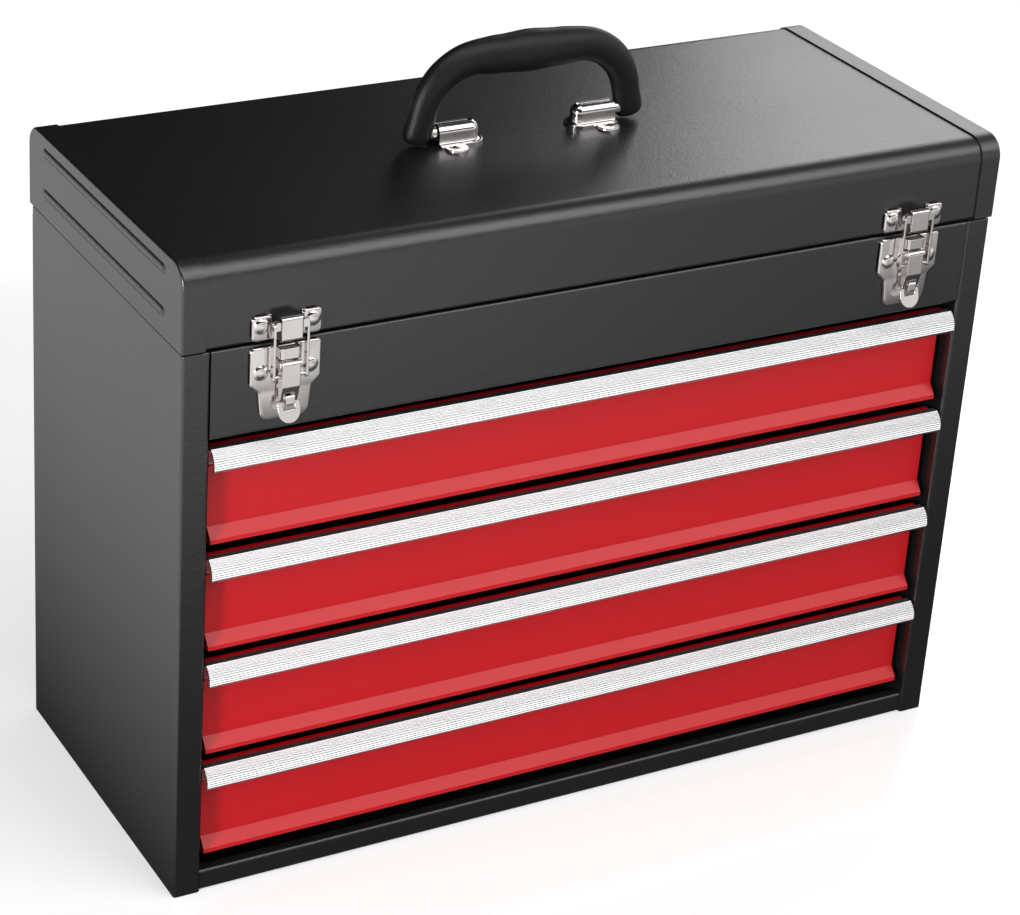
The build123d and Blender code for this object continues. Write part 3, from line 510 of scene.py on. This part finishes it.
def add_piece(name: str, mesh: bmesh.types.BMesh, material: bpy.types.Material, body: str,
              stands_for: str | None = None) -> bpy.types.Object:
    """Turns a bmesh into a piece that rides on a body.

    Args:
        name: the piece's name.
        mesh: its geometry in the row frame; it is freed here.
        material: its finish.
        body: the CAD body that carries it.
        stands_for: CAD node that it replaces, if any.

    Returns:
        The new object.
    """
    data = bpy.data.meshes.new(name)
    bmesh.ops.recalc_face_normals(mesh, faces=mesh.faces)
    mesh.to_mesh(data)
    mesh.free()
    data.materials.append(material)
    piece = bpy.data.objects.new(name, data)
    bpy.context.scene.collection.objects.link(piece)
    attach(piece, body)
    if stands_for:
        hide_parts(stands_for)
    LOG.info("%s: %d faces, rides on %s", name, len(data.polygons), body)
    return piece


def drawn_along_x(outline: list[tuple[float, float]], low: float,
                  high: float) -> bmesh.types.BMesh:
    """Draws a closed section out along X.

    Args:
        outline: points of the section in (y, z), once round.
        low: x of one end.
        high: x of the other end.

    Returns:
        The mesh, with both ends closed.
    """
    mesh = bmesh.new()
    ends = [[mesh.verts.new((x, y, z)) for y, z in outline] for x in (low, high)]
    for index in range(len(outline)):
        after = (index + 1) % len(outline)
        mesh.faces.new((ends[0][index], ends[0][after], ends[1][after], ends[1][index]))
    mesh.faces.new(ends[0])
    mesh.faces.new(list(reversed(ends[1])))
    return mesh


def inner_skin(skin: list[tuple[float, float]], gauge: float) -> list[tuple[float, float]]:
    """Other side of a folded sheet, mitred at each bend.

    Args:
        skin: points along the outer side, with the metal to their right.
        gauge: thickness of the sheet.

    Returns:
        One point for each point of the skin.
    """
    points = [Vector(point) for point in skin]
    ways = [(after - point).normalized() for point, after in zip(points, points[1:])]
    found = []
    for index, point in enumerate(points):
        before = ways[max(index - 1, 0)]
        after = ways[min(index, len(ways) - 1)]
        normal = Vector((before.y + after.y, -(before.x + after.x)))
        moved = point + normal * (gauge / (1 + before.dot(after)))
        found.append((moved.x, moved.y))
    return found


def rounded_outline(corners: list[tuple[float, float]], radii: list[float],
                    steps: int = 6) -> list[tuple[float, float]]:
    """Closed outline with rounded corners.

    Args:
        corners: corners in order.
        radii: radius of each corner.
        steps: steps round each corner.

    Returns:
        Points once round.
    """
    found = []
    for index, radius in enumerate(radii):
        corner = Vector(corners[index])
        back = (Vector(corners[index - 1]) - corner).normalized()
        ahead = (Vector(corners[(index + 1) % len(corners)]) - corner).normalized()
        half = back.angle(ahead) / 2
        centre = corner + (back + ahead).normalized() * (radius / math.sin(half))
        start = corner + back * (radius / math.tan(half)) - centre
        end = corner + ahead * (radius / math.tan(half)) - centre
        for step in range(steps + 1):
            spoke = start.lerp(end, step / steps).normalized() * radius
            found.append(((centre + spoke).x, (centre + spoke).y))
    return found


def pressed_pad(mesh: bmesh.types.BMesh, outline: list[tuple[float, float]], seat: float,
                face: float, rim: float) -> None:
    """Adds a plate with a rounded rim that stands out to the front.

    Args:
        mesh: mesh to add to.
        outline: points in (x, z), once round.
        seat: y of the rim's foot.
        face: y of the plate's outer face.
        rim: radius of the rim.
    """
    points = [Vector(point) for point in outline]
    middle = sum(points, Vector((0.0, 0.0))) / len(points)
    inward = []
    for index, point in enumerate(points):
        along = (points[(index + 1) % len(points)] - points[index - 1]).normalized()
        normal = Vector((-along.y, along.x))
        inward.append(normal if normal.dot(middle - point) > 0 else -normal)
    rings = []
    for turn in (None, 0, 1, 2, 3, 4):
        angle = 0.0 if turn is None else math.pi / 8 * turn
        y = seat if turn is None else face + rim * (1 - math.sin(angle))
        inset = rim * (1 - math.cos(angle))
        rings.append([mesh.verts.new((p.x + n.x * inset, y, p.y + n.y * inset))
                      for p, n in zip(points, inward)])
    for ring, after in zip(rings, rings[1:]):
        for index in range(len(ring)):
            turn = (index + 1) % len(ring)
            mesh.faces.new((ring[index], ring[turn], after[turn], after[index]))
    mesh.faces.new(rings[-1])


def rivet_dome(mesh: bmesh.types.BMesh, place: Triple, radius: float,
               height: float) -> None:
    """Adds a domed rivet head that stands out to the front.

    Args:
        mesh: mesh to add to.
        place: centre of the head's foot.
        radius: radius of the head.
        height: how far it stands out.
    """
    squash = Matrix.Diagonal((radius, height, radius, 1.0))
    bmesh.ops.create_uvsphere(mesh, u_segments=28, v_segments=14, radius=1.0,
                              matrix=Matrix.Translation(place) @ squash)


def smooth_by_angle(piece: bpy.types.Object, degrees: float) -> None:
    """Shades a mesh smooth, with edges sharper than an angle kept."""
    piece.data.shade_smooth()
    piece.data.set_sharp_from_angle(angle=math.radians(degrees))


# ---------------------------------------------------------------- sub-assemblies
@dataclass
class Cabinet:
    """Folded body with the slide rails and the lower half of the hinge."""

    palette: Palette
    shell: tuple[str, ...] = ("side_panel_left", "side_panel_right", "upper_front_panel",
                              "base_pan", "back_panel", "compartment_floor",
                              "hinge_leaf_lower")
    rails: tuple[str, ...] = ("slide_rails_left", "slide_rails_right")

    def build(self) -> None:
        """Dresses the cabinet's nodes."""
        dress(self.shell, self.palette.cabinet)
        dress(self.rails, self.palette.zinc)
        dress(["hinge_rivets_lower"], self.palette.nickel)


@dataclass
class Lid:
    """Lid panel with its caps, the upper hinge leaf and the handle's brackets."""

    palette: Palette
    shell: tuple[str, ...] = ("lid_panel", "lid_cap_left", "lid_cap_right",
                              "hinge_leaf_upper")
    plated: tuple[str, ...] = ("hinge_pin", "hinge_rivets_upper", "bracket_rivets",
                               "strike_rivets")

    def build(self) -> None:
        """Dresses the lid's nodes."""
        dress(self.shell, self.palette.cabinet)
        dress(self.plated, self.palette.nickel)


@dataclass
class Bracket:
    """Closed hood over one of the handle's pivots, riveted down by two round tabs."""

    palette: Palette
    side: Side
    radius: float = 5.65 * MM
    gauge: float = 1.6 * MM
    flange: float = 3.0 * MM
    bend: float = 1.0 * MM
    groove: float = 0.9 * MM
    tab: float = 7.0 * MM
    reach: float = 11.6 * MM
    tab_inset: float = 8.0 * MM
    length: float = 21.0 * MM         # straight part of the hood
    turns: int = 12

    def build(self) -> None:
        """Builds the bracket as one piece in place of the CAD one."""
        node = "handle_bracket_" + self.side.value
        sign = 1.0 if self.side is Side.RIGHT else -1.0
        low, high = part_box(node)
        outer = max(abs(low.x), abs(high.x))
        core_end = outer - self.length
        pivot = high.z - self.radius
        stations = [(outer, 0.0), (core_end, 0.0)]
        stations += [(core_end, math.pi / 2 * (step + 1) / self.turns)
                     for step in range(self.turns)]
        mesh = bmesh.new()
        rings = []
        for x, angle in stations:
            rings.append([mesh.verts.new((sign * (x - abs(y) * math.sin(angle)),
                                          y * math.cos(angle), z))
                          for y, z in self.profile(low.z, pivot)])
        for ring, after in zip(rings, rings[1:]):
            for index in range(len(ring) - 1):
                mesh.faces.new((ring[index], ring[index + 1], after[index + 1], after[index]))
        for y in (-self.reach, self.reach):
            place = Matrix.Translation((sign * (outer - self.tab_inset), y,
                                        low.z + self.gauge / 2))
            bmesh.ops.create_cone(mesh, cap_ends=True, segments=40, radius1=self.tab,
                                  radius2=self.tab - 0.3 * MM, depth=self.gauge, matrix=place)
        bmesh.ops.remove_doubles(mesh, verts=mesh.verts, dist=1e-6)
        piece = add_piece("hooded_bracket_" + self.side.value, mesh, self.palette.nickel, "lid",
                          node)
        smooth_by_angle(piece, 50)

    def profile(self, seat: float, pivot: float) -> list[tuple[float, float]]:
        """Section of the hood from one flange over the crown to the other.

        Args:
            seat: height of the lid.
            pivot: height of the pivot.

        Returns:
            Points in (y, z).
        """
        plate = seat + self.gauge
        half = [(self.radius + self.flange, seat), (self.radius + self.flange, plate),
                (self.radius + self.bend, plate), (self.radius + 0.3 * self.bend,
                                                   plate + 0.3 * self.bend),
                (self.radius, plate + self.bend)]
        for step in range(13):
            angle = math.pi / 2 * step / 12
            sunk = self.groove if step > 9 else 0.0
            half.append(((self.radius - sunk) * math.cos(angle),
                         pivot + (self.radius - sunk) * math.sin(angle)))
        return [(-y, z) for y, z in half[:-1]] + list(reversed(half))


@dataclass
class Drawer:
    """One drawer: red front, black tray, zinc slides and a finely ribbed pull."""

    palette: Palette
    number: int
    wall: float = 1.3 * MM
    pull_height: float = 12.4 * MM
    pull_inset: float = 0.6 * MM      # skin behind the CAD pull's foremost point
    rib_room: float = 0.1 * MM        # the CAD ribs stand this much above the top
    clip_drop: float = 10.0 * MM
    ribs: int = 10
    rib_height: float = 0.5 * MM
    rib_steps: int = 6
    gauge: float = 0.9 * MM
    lip_kick: float = 5.0 * MM        # lip in front of the face
    lip_return: float = 1.5 * MM
    lip_hem: float = 2.6 * MM
    lip_height: float = 8.6 * MM
    jog: float = 3.5 * MM             # upper edge in front of the face
    jog_drop: float = 11.0 * MM       # below the pull's top
    tuck: float = 0.9 * MM            # top edge below the pull's top
    top_flange: float = 4.5 * MM

    @property
    def title(self) -> str:
        """Name of the drawer's body."""
        return f"drawer_{self.number}"

    def build(self) -> None:
        """Dresses the drawer and builds its pull."""
        dress([self.title + "_tray"], self.palette.tray)
        dress([self.title + "_slides"], self.palette.zinc)
        self.build_front()
        self.build_pull()

    def build_front(self) -> None:
        """Builds the front with its top edge tucked in behind the pull."""
        low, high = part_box(self.title + "_front")
        face = low.y + self.lip_kick
        clip = face - self.jog
        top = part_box(self.title + "_pull")[1].z
        tucked = top - self.tuck
        skin = [(face + self.lip_return, low.z), (low.y, low.z),
                (low.y, low.z + self.lip_hem), (face, low.z + self.lip_height),
                (face, top - self.jog_drop - self.jog), (clip, top - self.jog_drop),
                (clip, tucked), (clip + self.top_flange, tucked)]
        outline = skin + list(reversed(inner_skin(skin, self.gauge)))
        piece = add_piece(self.title + "_folded_front", drawn_along_x(outline, low.x, high.x),
                          self.palette.front, self.title,
                          self.title + "_front")
        smooth_by_angle(piece, 20)

    def build_pull(self) -> None:
        """Builds the pull's section and draws it out along the drawer."""
        low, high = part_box(self.title + "_pull")
        mesh = drawn_along_x(self.section(low, high), low.x, high.x)
        piece = add_piece(self.title + "_ribbed_pull", mesh, self.palette.pull, self.title,
                          self.title + "_pull")
        smooth_by_angle(piece, 50)

    def section(self, low: Vector, high: Vector) -> list[tuple[float, float]]:
        """Outline of the pull.

        Args:
            low: lowest corner of the CAD pull.
            high: highest corner of the CAD pull.

        Returns:
            Points in (y, z), once round.
        """
        nose = low.y + self.pull_inset
        back = high.y
        top = high.z - self.rib_room
        reach = back - nose
        height = self.pull_height
        skin = arc_through((back - 0.4 * reach, top),
                           (nose + 0.18 * reach, top - 0.26 * height),
                           (nose, top - height + self.wall), self.ribs * self.rib_steps)
        outer = []
        for index, (point, normal) in enumerate(skin):
            phase = (index % self.rib_steps) / self.rib_steps
            lift = self.rib_height * abs(math.sin(math.pi * phase))
            outer.append((point[0] + normal[0] * lift, point[1] + normal[1] * lift))
        inner = [(point[0] - normal[0] * self.wall, point[1] - normal[1] * self.wall)
                 for point, normal in reversed(skin[1:-1:4])]
        hook = nose + 2.2 * self.wall
        floor = top - height
        return ([(back, top - self.clip_drop), (back, top)] + outer
                + [(nose + 0.3 * self.wall, floor + 0.3 * self.wall),
                   (nose + 0.8 * self.wall, floor), (hook, floor),
                   (hook, floor + 0.9 * self.wall), (nose + self.wall, floor + self.wall)]
                + inner + [(back - self.wall, top - self.wall),
                           (back - self.wall, top - self.clip_drop)])


def arc_through(start: tuple[float, float], middle: tuple[float, float],
                end: tuple[float, float], steps: int
                ) -> list[tuple[tuple[float, float], tuple[float, float]]]:
    """Samples the circle's arc through three points.

    Args:
        start: first point of the arc.
        middle: a point on the arc.
        end: last point of the arc.
        steps: number of steps.

    Returns:
        Each point with its outward normal.
    """
    (ax, ay), (bx, by), (cx, cy) = start, middle, end
    d = 2 * (ax * (by - cy) + bx * (cy - ay) + cx * (ay - by))
    ux = ((ax ** 2 + ay ** 2) * (by - cy) + (bx ** 2 + by ** 2) * (cy - ay)
          + (cx ** 2 + cy ** 2) * (ay - by)) / d
    uy = ((ax ** 2 + ay ** 2) * (cx - bx) + (bx ** 2 + by ** 2) * (ax - cx)
          + (cx ** 2 + cy ** 2) * (bx - ax)) / d
    radius = math.hypot(ax - ux, ay - uy)
    first = math.atan2(ay - uy, ax - ux)
    last = math.atan2(cy - uy, cx - ux)
    turn = (last - first + math.pi) % (2 * math.pi) - math.pi
    found = []
    for step in range(steps + 1):
        angle = first + turn * step / steps
        normal = (math.cos(angle), math.sin(angle))
        found.append(((ux + radius * normal[0], uy + radius * normal[1]), normal))
    return found


@dataclass
class Latch:
    """One draw latch in bright nickel."""

    palette: Palette
    side: Side
    stand: float = 2.3 * MM
    rim: float = 1.0 * MM
    head: float = 4.3 * MM
    dome: float = 1.6 * MM
    # half-width of the base at depths below its top, with the radius of each corner
    base_rows: tuple[Triple, ...] = ((20.65, 0.0, 2.6), (20.65, 21.8, 2.5), (15.7, 26.4, 2.5),
                                     (14.0, 43.0, 5.0))
    base_rivet_drop: float = 14.5 * MM
    base_rivet_half: float = 14.4 * MM
    strike_tab: float = 11.5 * MM
    strike_corner: float = 2.4 * MM
    strike_rivet_rise: float = 8.6 * MM
    strike_rivet_half: float = 15.0 * MM

    def build(self) -> None:
        """Dresses the latch's nodes and presses up the plates of its base and strike."""
        parts = ("latch_base_", "latch_pin_", "latch_lever_", "latch_bail_", "latch_strike_")
        dress([part + self.side.value for part in parts], self.palette.nickel)
        self.build_base_pad()
        self.build_strike_pads()

    def build_base_pad(self) -> None:
        """Builds the raised face of the shield-shaped base."""
        low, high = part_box("latch_base_" + self.side.value)
        middle = (low.x + high.x) / 2
        right = [(middle + x * MM, high.z - drop * MM) for x, drop, _ in self.base_rows]
        left = [(2 * middle - x, z) for x, z in reversed(right)]
        radii = [radius * MM for _, _, radius in self.base_rows]
        mesh = bmesh.new()
        pressed_pad(mesh, rounded_outline(right + left, radii + radii[::-1]),
                    high.y, high.y - self.stand, self.rim)
        for x in (middle - self.base_rivet_half, middle + self.base_rivet_half):
            rivet_dome(mesh, (x, high.y - self.stand, high.z - self.base_rivet_drop),
                       self.head, self.dome)
        piece = add_piece("latch_base_pad_" + self.side.value, mesh, self.palette.nickel,
                          "cabinet")
        smooth_by_angle(piece, 50)

    def build_strike_pads(self) -> None:
        """Builds the raised faces of the strike's two riveted tabs."""
        low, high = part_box("latch_strike_" + self.side.value)
        mesh = bmesh.new()
        for near, far in ((low.x, low.x + self.strike_tab), (high.x - self.strike_tab, high.x)):
            corners = [(near, low.z), (far, low.z), (far, high.z), (near, high.z)]
            pressed_pad(mesh, rounded_outline(corners, [self.strike_corner] * 4), high.y,
                        high.y - self.stand, self.rim)
        middle = (low.x + high.x) / 2
        for x in (middle - self.strike_rivet_half, middle + self.strike_rivet_half):
            rivet_dome(mesh, (x, high.y - self.stand, low.z + self.strike_rivet_rise),
                       self.head, self.dome)
        piece = add_piece("latch_strike_pads_" + self.side.value, mesh, self.palette.nickel,
                          "lid")
        smooth_by_angle(piece, 50)


@dataclass
class Handle:
    """Moulded grip over a steel core."""

    palette: Palette
    half_span: float = 69.5 * MM
    rise: float = 42.6 * MM
    lean: float = 9.5 * MM
    shoulder: float = 36.0 * MM
    foot: float = 5.6 * MM
    core_radius: float = 4.0 * MM
    stations: int = 150
    around: int = 36

    def build(self) -> None:
        """Builds the grip and dresses the core."""
        dress(["handle_core"], self.palette.nickel)
        low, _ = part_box("handle_core")
        pivot = low.z + self.core_radius
        path = self.path(pivot)
        length = path[-1][0]
        mesh = bmesh.new()
        rings = []
        for travelled, centre, tangent in path:
            across, deep = self.section(min(travelled, length - travelled), length / 2)
            side = Vector((tangent.z, 0.0, -tangent.x))
            ring = []
            for step in range(self.around):
                angle = 2 * math.pi * step / self.around
                offset = side * (across * math.cos(angle))
                offset += Vector((0.0, deep * math.sin(angle), 0.0))
                ring.append(mesh.verts.new(centre + offset))
            rings.append(ring)
        for ring, after in zip(rings, rings[1:]):
            for step in range(self.around):
                turn = (step + 1) % self.around
                mesh.faces.new((ring[step], ring[turn], after[turn], after[step]))
        mesh.faces.new(rings[0])
        mesh.faces.new(list(reversed(rings[-1])))
        piece = add_piece("moulded_grip", mesh, self.palette.grip, "handle",
                          "handle_grip")
        smooth_by_angle(piece, 60)

    def path(self, pivot: float) -> list[tuple[float, Vector, Vector]]:
        """Centre line of the grip.

        Args:
            pivot: height of the pivot.

        Returns:
            Distance from the foot, point and direction of each station.
        """
        slope = self.lean / self.rise
        foot = Vector((self.half_span + slope * self.foot, 0.0, pivot - self.foot))
        corner = Vector((self.half_span - self.lean, 0.0, pivot + self.rise))
        up = (corner - foot).normalized()
        in_line = Vector((-1.0, 0.0, 0.0))
        angle = up.angle(in_line)
        cut = self.shoulder * math.tan(angle / 2)
        arc_start = corner - up * cut
        arc_end = corner + in_line * cut
        centre = arc_end - Vector((0.0, 0.0, self.shoulder))
        runs = ((arc_start - foot).length, self.shoulder * angle, arc_end.x)
        half = sum(runs)
        found = []
        for index in range(self.stations + 1):
            travelled = half * self.ease(index / self.stations)
            if travelled <= runs[0]:
                point, way = foot + up * travelled, up
            elif travelled <= runs[0] + runs[1]:
                turned = (travelled - runs[0]) / self.shoulder
                spoke = Matrix.Rotation(-turned, 3, "Y") @ (arc_start - centre)
                point = centre + spoke
                way = Matrix.Rotation(-turned, 3, "Y") @ up
            else:
                point = arc_end + in_line * (travelled - runs[0] - runs[1])
                way = in_line
            found.append((travelled, point, way))
        mirrored = [(2 * half - t, Vector((-p.x, p.y, p.z)), Vector((w.x, w.y, -w.z)))
                    for t, p, w in reversed(found[:-1])]
        return found + mirrored

    def ease(self, share: float) -> float:
        """Crowds the stations near the foot, where the end is rounded."""
        return share ** 1.35

    def section(self, travelled: float, half: float) -> tuple[float, float]:
        """Half-widths of the grip.

        Args:
            travelled: distance from the nearer foot.
            half: distance from the foot to the middle.

        Returns:
            Half-width in the handle's plane and across it.
        """
        table = [(0.0, 2.2, 1.6), (0.6, 5.2, 3.9), (1.6, 7.4, 5.4), (3.2, 8.5, 6.2),
                 (5.6, 8.85, 6.6), (0.16 * half / MM, 8.6, 6.6), (0.3 * half / MM, 8.95, 7.0),
                 (0.45 * half / MM, 9.5, 7.4), (0.62 * half / MM, 10.0, 7.9),
                 (0.8 * half / MM, 11.3, 9.0), (half / MM, 12.5, 10.0)]
        place = travelled / MM
        for (a, wide_a, deep_a), (b, wide_b, deep_b) in zip(table, table[1:]):
            if place <= b:
                share = max(0.0, (place - a) / (b - a))
                share = share if b < 6 else share * share * (3 - 2 * share)
                return ((wide_a + share * (wide_b - wide_a)) * MM,
                        (deep_a + share * (deep_b - deep_a)) * MM)
        return table[-1][1] * MM, table[-1][2] * MM


# ---------------------------------------------------------------- studio
@dataclass(frozen=True)
class Softbox:
    """Rectangular studio light."""

    name: str
    place: Triple
    aim: Triple
    width: float
    height: float
    power: float

    def build(self) -> None:
        """Adds the light to the scene."""
        data = bpy.data.lights.new(self.name, "AREA")
        data.shape = "RECTANGLE"
        data.size = self.width
        data.size_y = self.height
        data.energy = self.power
        lamp = bpy.data.objects.new(self.name, data)
        lamp.location = self.place
        direction = Vector(self.aim) - Vector(self.place)
        lamp.rotation_euler = direction.to_track_quat("-Z", "Y").to_euler()
        bpy.context.scene.collection.objects.link(lamp)
        LOG.info("light %s: %.0f W", self.name, self.power)


# the room of black cards round the box, open below and at the right of the back
ROOM_LEFT = -2.7
ROOM_RIGHT = 2.4
ROOM_FRONT = -2.4
ROOM_BACK = 1.25
ROOM_TOP = 2.55
BACK_RIGHT = 0.94
BACK_LOW = 0.25
FRONT_LOW = 0.75
LEFT_LOW = 0.55


@dataclass(frozen=True)
class BlackCard:
    """Black card that darkens the gloss; the camera and diffuse light don't see it."""

    name: str
    low: Triple
    high: Triple

    def build(self, material: bpy.types.Material) -> None:
        """Adds the card.

        Args:
            material: its black finish.
        """
        first, last = [axis for axis in range(3) if self.low[axis] != self.high[axis]]
        corners = [Vector(self.low), Vector(self.low), Vector(self.high), Vector(self.low)]
        corners[1][first] = self.high[first]
        corners[3][last] = self.high[last]
        data = bpy.data.meshes.new(self.name)
        data.from_pydata(corners, [], [(0, 1, 2, 3)])
        data.materials.append(material)
        card = bpy.data.objects.new(self.name, data)
        bpy.context.scene.collection.objects.link(card)
        card.visible_camera = False
        card.visible_diffuse = False
        card.visible_shadow = False
        LOG.info("card %s", self.name)


class Studio:
    """White floor and surroundings, soft lights and the photograph's camera."""

    def __init__(self) -> None:
        """Lists the lights and the cards."""
        self.lights = [
            Softbox("key_left", (-2.2, -1.22, 0.55), (0.0, -0.1, 0.2), 0.35, 0.8, 40.0),
            Softbox("overhead", (-0.3, -0.6, 2.4), (0.0, 0.0, 0.2), 1.6, 1.2, 16.0),
            Softbox("front_right", (0.9, -1.55, 1.95), (0.0, -0.1, 0.2), 1.9, 1.5, 22.0),
            Softbox("back_right", (1.9, 1.8, 1.5), (0.2, 0.0, 0.39), 1.1, 1.1, 7.0),
        ]
        self.cards = [
            BlackCard("card_behind", (ROOM_LEFT, ROOM_BACK, BACK_LOW),
                      (BACK_RIGHT, ROOM_BACK, ROOM_TOP)),
            BlackCard("card_above", (ROOM_LEFT, ROOM_FRONT, ROOM_TOP + 0.01),
                      (ROOM_RIGHT, ROOM_BACK, ROOM_TOP + 0.01)),
            BlackCard("card_front", (ROOM_LEFT, ROOM_FRONT, FRONT_LOW),
                      (ROOM_RIGHT, ROOM_FRONT, ROOM_TOP)),
            BlackCard("card_left", (ROOM_LEFT, ROOM_FRONT, LEFT_LOW),
                      (ROOM_LEFT, ROOM_BACK, ROOM_TOP)),
        ]

    def build(self) -> None:
        """Builds the studio."""
        self.build_world()
        self.build_floor()
        for light in self.lights:
            light.build()
        black = Surface("Black card", {"Base Color": (0.003, 0.003, 0.003, 1.0),
                                       "Roughness": 0.9, "Specular IOR Level": 0.1}).material
        for card in self.cards:
            card.build(black)
        self.build_camera()
        bpy.context.scene.view_settings.view_transform = "Standard"

    def build_world(self) -> None:
        """World that is white to the camera and where no card hides it, and a soft fill."""
        world = bpy.data.worlds.new("Studio surround")
        bpy.context.scene.world = world
        world.use_nodes = True
        tree = world.node_tree
        tree.nodes.clear()
        graph = Graph(tree)
        path = graph.add("ShaderNodeLightPath")
        seen = graph.math("ADD", path.outputs["Is Camera Ray"], path.outputs["Is Glossy Ray"])
        seen = graph.math("ADD", seen, path.outputs["Is Transmission Ray"], clamp=True)
        fill = graph.add("ShaderNodeBackground", values={"Color": (1.0, 1.0, 1.0, 1.0),
                                                         "Strength": 0.42})
        white = graph.add("ShaderNodeBackground", values={"Color": (1.0, 1.0, 1.0, 1.0),
                                                          "Strength": 1.0})
        mix = graph.add("ShaderNodeMixShader")
        graph.link(seen, mix.inputs[0])
        graph.link(fill.outputs[0], mix.inputs[1])
        graph.link(white.outputs[0], mix.inputs[2])
        out = graph.add("ShaderNodeOutputWorld")
        graph.link(mix.outputs[0], out.inputs["Surface"])

    def build_floor(self) -> None:
        """White floor with a faint mirror image of the box."""
        data = bpy.data.meshes.new("floor")
        half = 9.0
        data.from_pydata([(-half, -half, 0.0), (half, -half, 0.0), (half, half, 0.0),
                          (-half, half, 0.0)], [], [(0, 1, 2, 3)])
        floor = bpy.data.objects.new("floor", data)
        floor.location.z = -0.0002
        bpy.context.scene.collection.objects.link(floor)
        data.materials.append(self.floor_material())

    def floor_material(self) -> bpy.types.Material:
        """Builds the floor's finish.

        Returns:
            White to the camera. To reflections it is white at the left and in front, and dimmed
            by painted shade to nearly black under, behind and right of the box. Diffuse to all
            else.
        """
        material = bpy.data.materials.new("White studio floor")
        material.use_nodes = True
        tree = material.node_tree
        tree.nodes.clear()
        graph = Graph(tree)
        path = graph.add("ShaderNodeLightPath")
        # how white the floor looks in the box's gloss, with painted shade that dims it near the
        # box
        place = graph.add("ShaderNodeTexCoord").outputs["Object"]
        axes = graph.add("ShaderNodeSeparateXYZ")
        graph.link(place, axes.inputs[0])
        left = graph.ramp(axes.outputs["X"], -0.50, -0.25, 1.0, 0.03, "LINEAR")
        front = graph.ramp(axes.outputs["Y"], -0.85, -0.34, 1.0, 0.08)
        right_fade = graph.ramp(axes.outputs["X"], 0.15, 0.65, 1.0, 0.5)
        painted_shade_whiteness = graph.math("MAXIMUM", left, graph.math("MULTIPLY", front, right_fade))
        gloss_view = graph.add("ShaderNodeEmission")
        graph.link(painted_shade_whiteness, gloss_view.inputs["Strength"])
        diffuse = graph.add("ShaderNodeBsdfDiffuse", values={"Color": (0.8, 0.8, 0.8, 1.0)})
        glow = graph.add("ShaderNodeEmission", values={"Strength": 0.5})
        lit = graph.add("ShaderNodeAddShader")
        graph.link(diffuse.outputs[0], lit.inputs[0])
        graph.link(glow.outputs[0], lit.inputs[1])
        mirror = graph.add("ShaderNodeBsdfAnisotropic", values={"Roughness": 0.16})
        camera_view = graph.add("ShaderNodeMixShader", values={"Fac": 0.22})
        graph.link(lit.outputs[0], camera_view.inputs[1])
        graph.link(mirror.outputs[0], camera_view.inputs[2])
        by_camera = graph.add("ShaderNodeMixShader")
        graph.link(path.outputs["Is Camera Ray"], by_camera.inputs[0])
        graph.link(diffuse.outputs[0], by_camera.inputs[1])
        graph.link(camera_view.outputs[0], by_camera.inputs[2])
        reflected = graph.math("ADD", path.outputs["Is Glossy Ray"],
                               path.outputs["Is Transmission Ray"], clamp=True)
        last = graph.add("ShaderNodeMixShader")
        graph.link(reflected, last.inputs[0])
        graph.link(by_camera.outputs[0], last.inputs[1])
        graph.link(gloss_view.outputs[0], last.inputs[2])
        out = graph.add("ShaderNodeOutputMaterial")
        graph.link(last.outputs[0], out.inputs["Surface"])
        return material

    def build_camera(self) -> None:
        """Sets the camera where the photograph was taken from."""
        data = bpy.data.cameras.new("photograph")
        data.sensor_width = 36.0
        data.lens = 106.316
        data.shift_x = 0.0833
        data.shift_y = -0.0809
        data.clip_start = 0.05
        data.clip_end = 60.0
        camera = bpy.data.objects.new("photograph", data)
        right = Vector((0.88607189, -0.46082473, 0.05017143))
        up = Vector((0.16157527, 0.40848259, 0.8983515))
        back = Vector((-0.43447674, -0.78789755, 0.43640282))
        turn = Matrix((right, up, back)).transposed().to_4x4()
        camera.matrix_world = Matrix.Translation((-0.82872, -1.40166, 1.02068)) @ turn
        bpy.context.scene.collection.objects.link(camera)
        bpy.context.scene.camera = camera


# ---------------------------------------------------------------- the whole box
def main() -> None:
    """Builds every sub-assembly, then the studio."""
    logging.basicConfig(level=logging.INFO, format="%(name)s %(message)s")
    palette = Palette(Effects.build())
    Cabinet(palette).build()
    Lid(palette).build()
    for side in Side:
        Bracket(palette, side).build()
    Handle(palette).build()
    for number in range(1, 5):
        Drawer(palette, number).build()
    for side in Side:
        Latch(palette, side).build()
    dress(["latch_base_rivets"], palette.nickel)
    Studio().build()


if __name__ == "__main__":
    main()
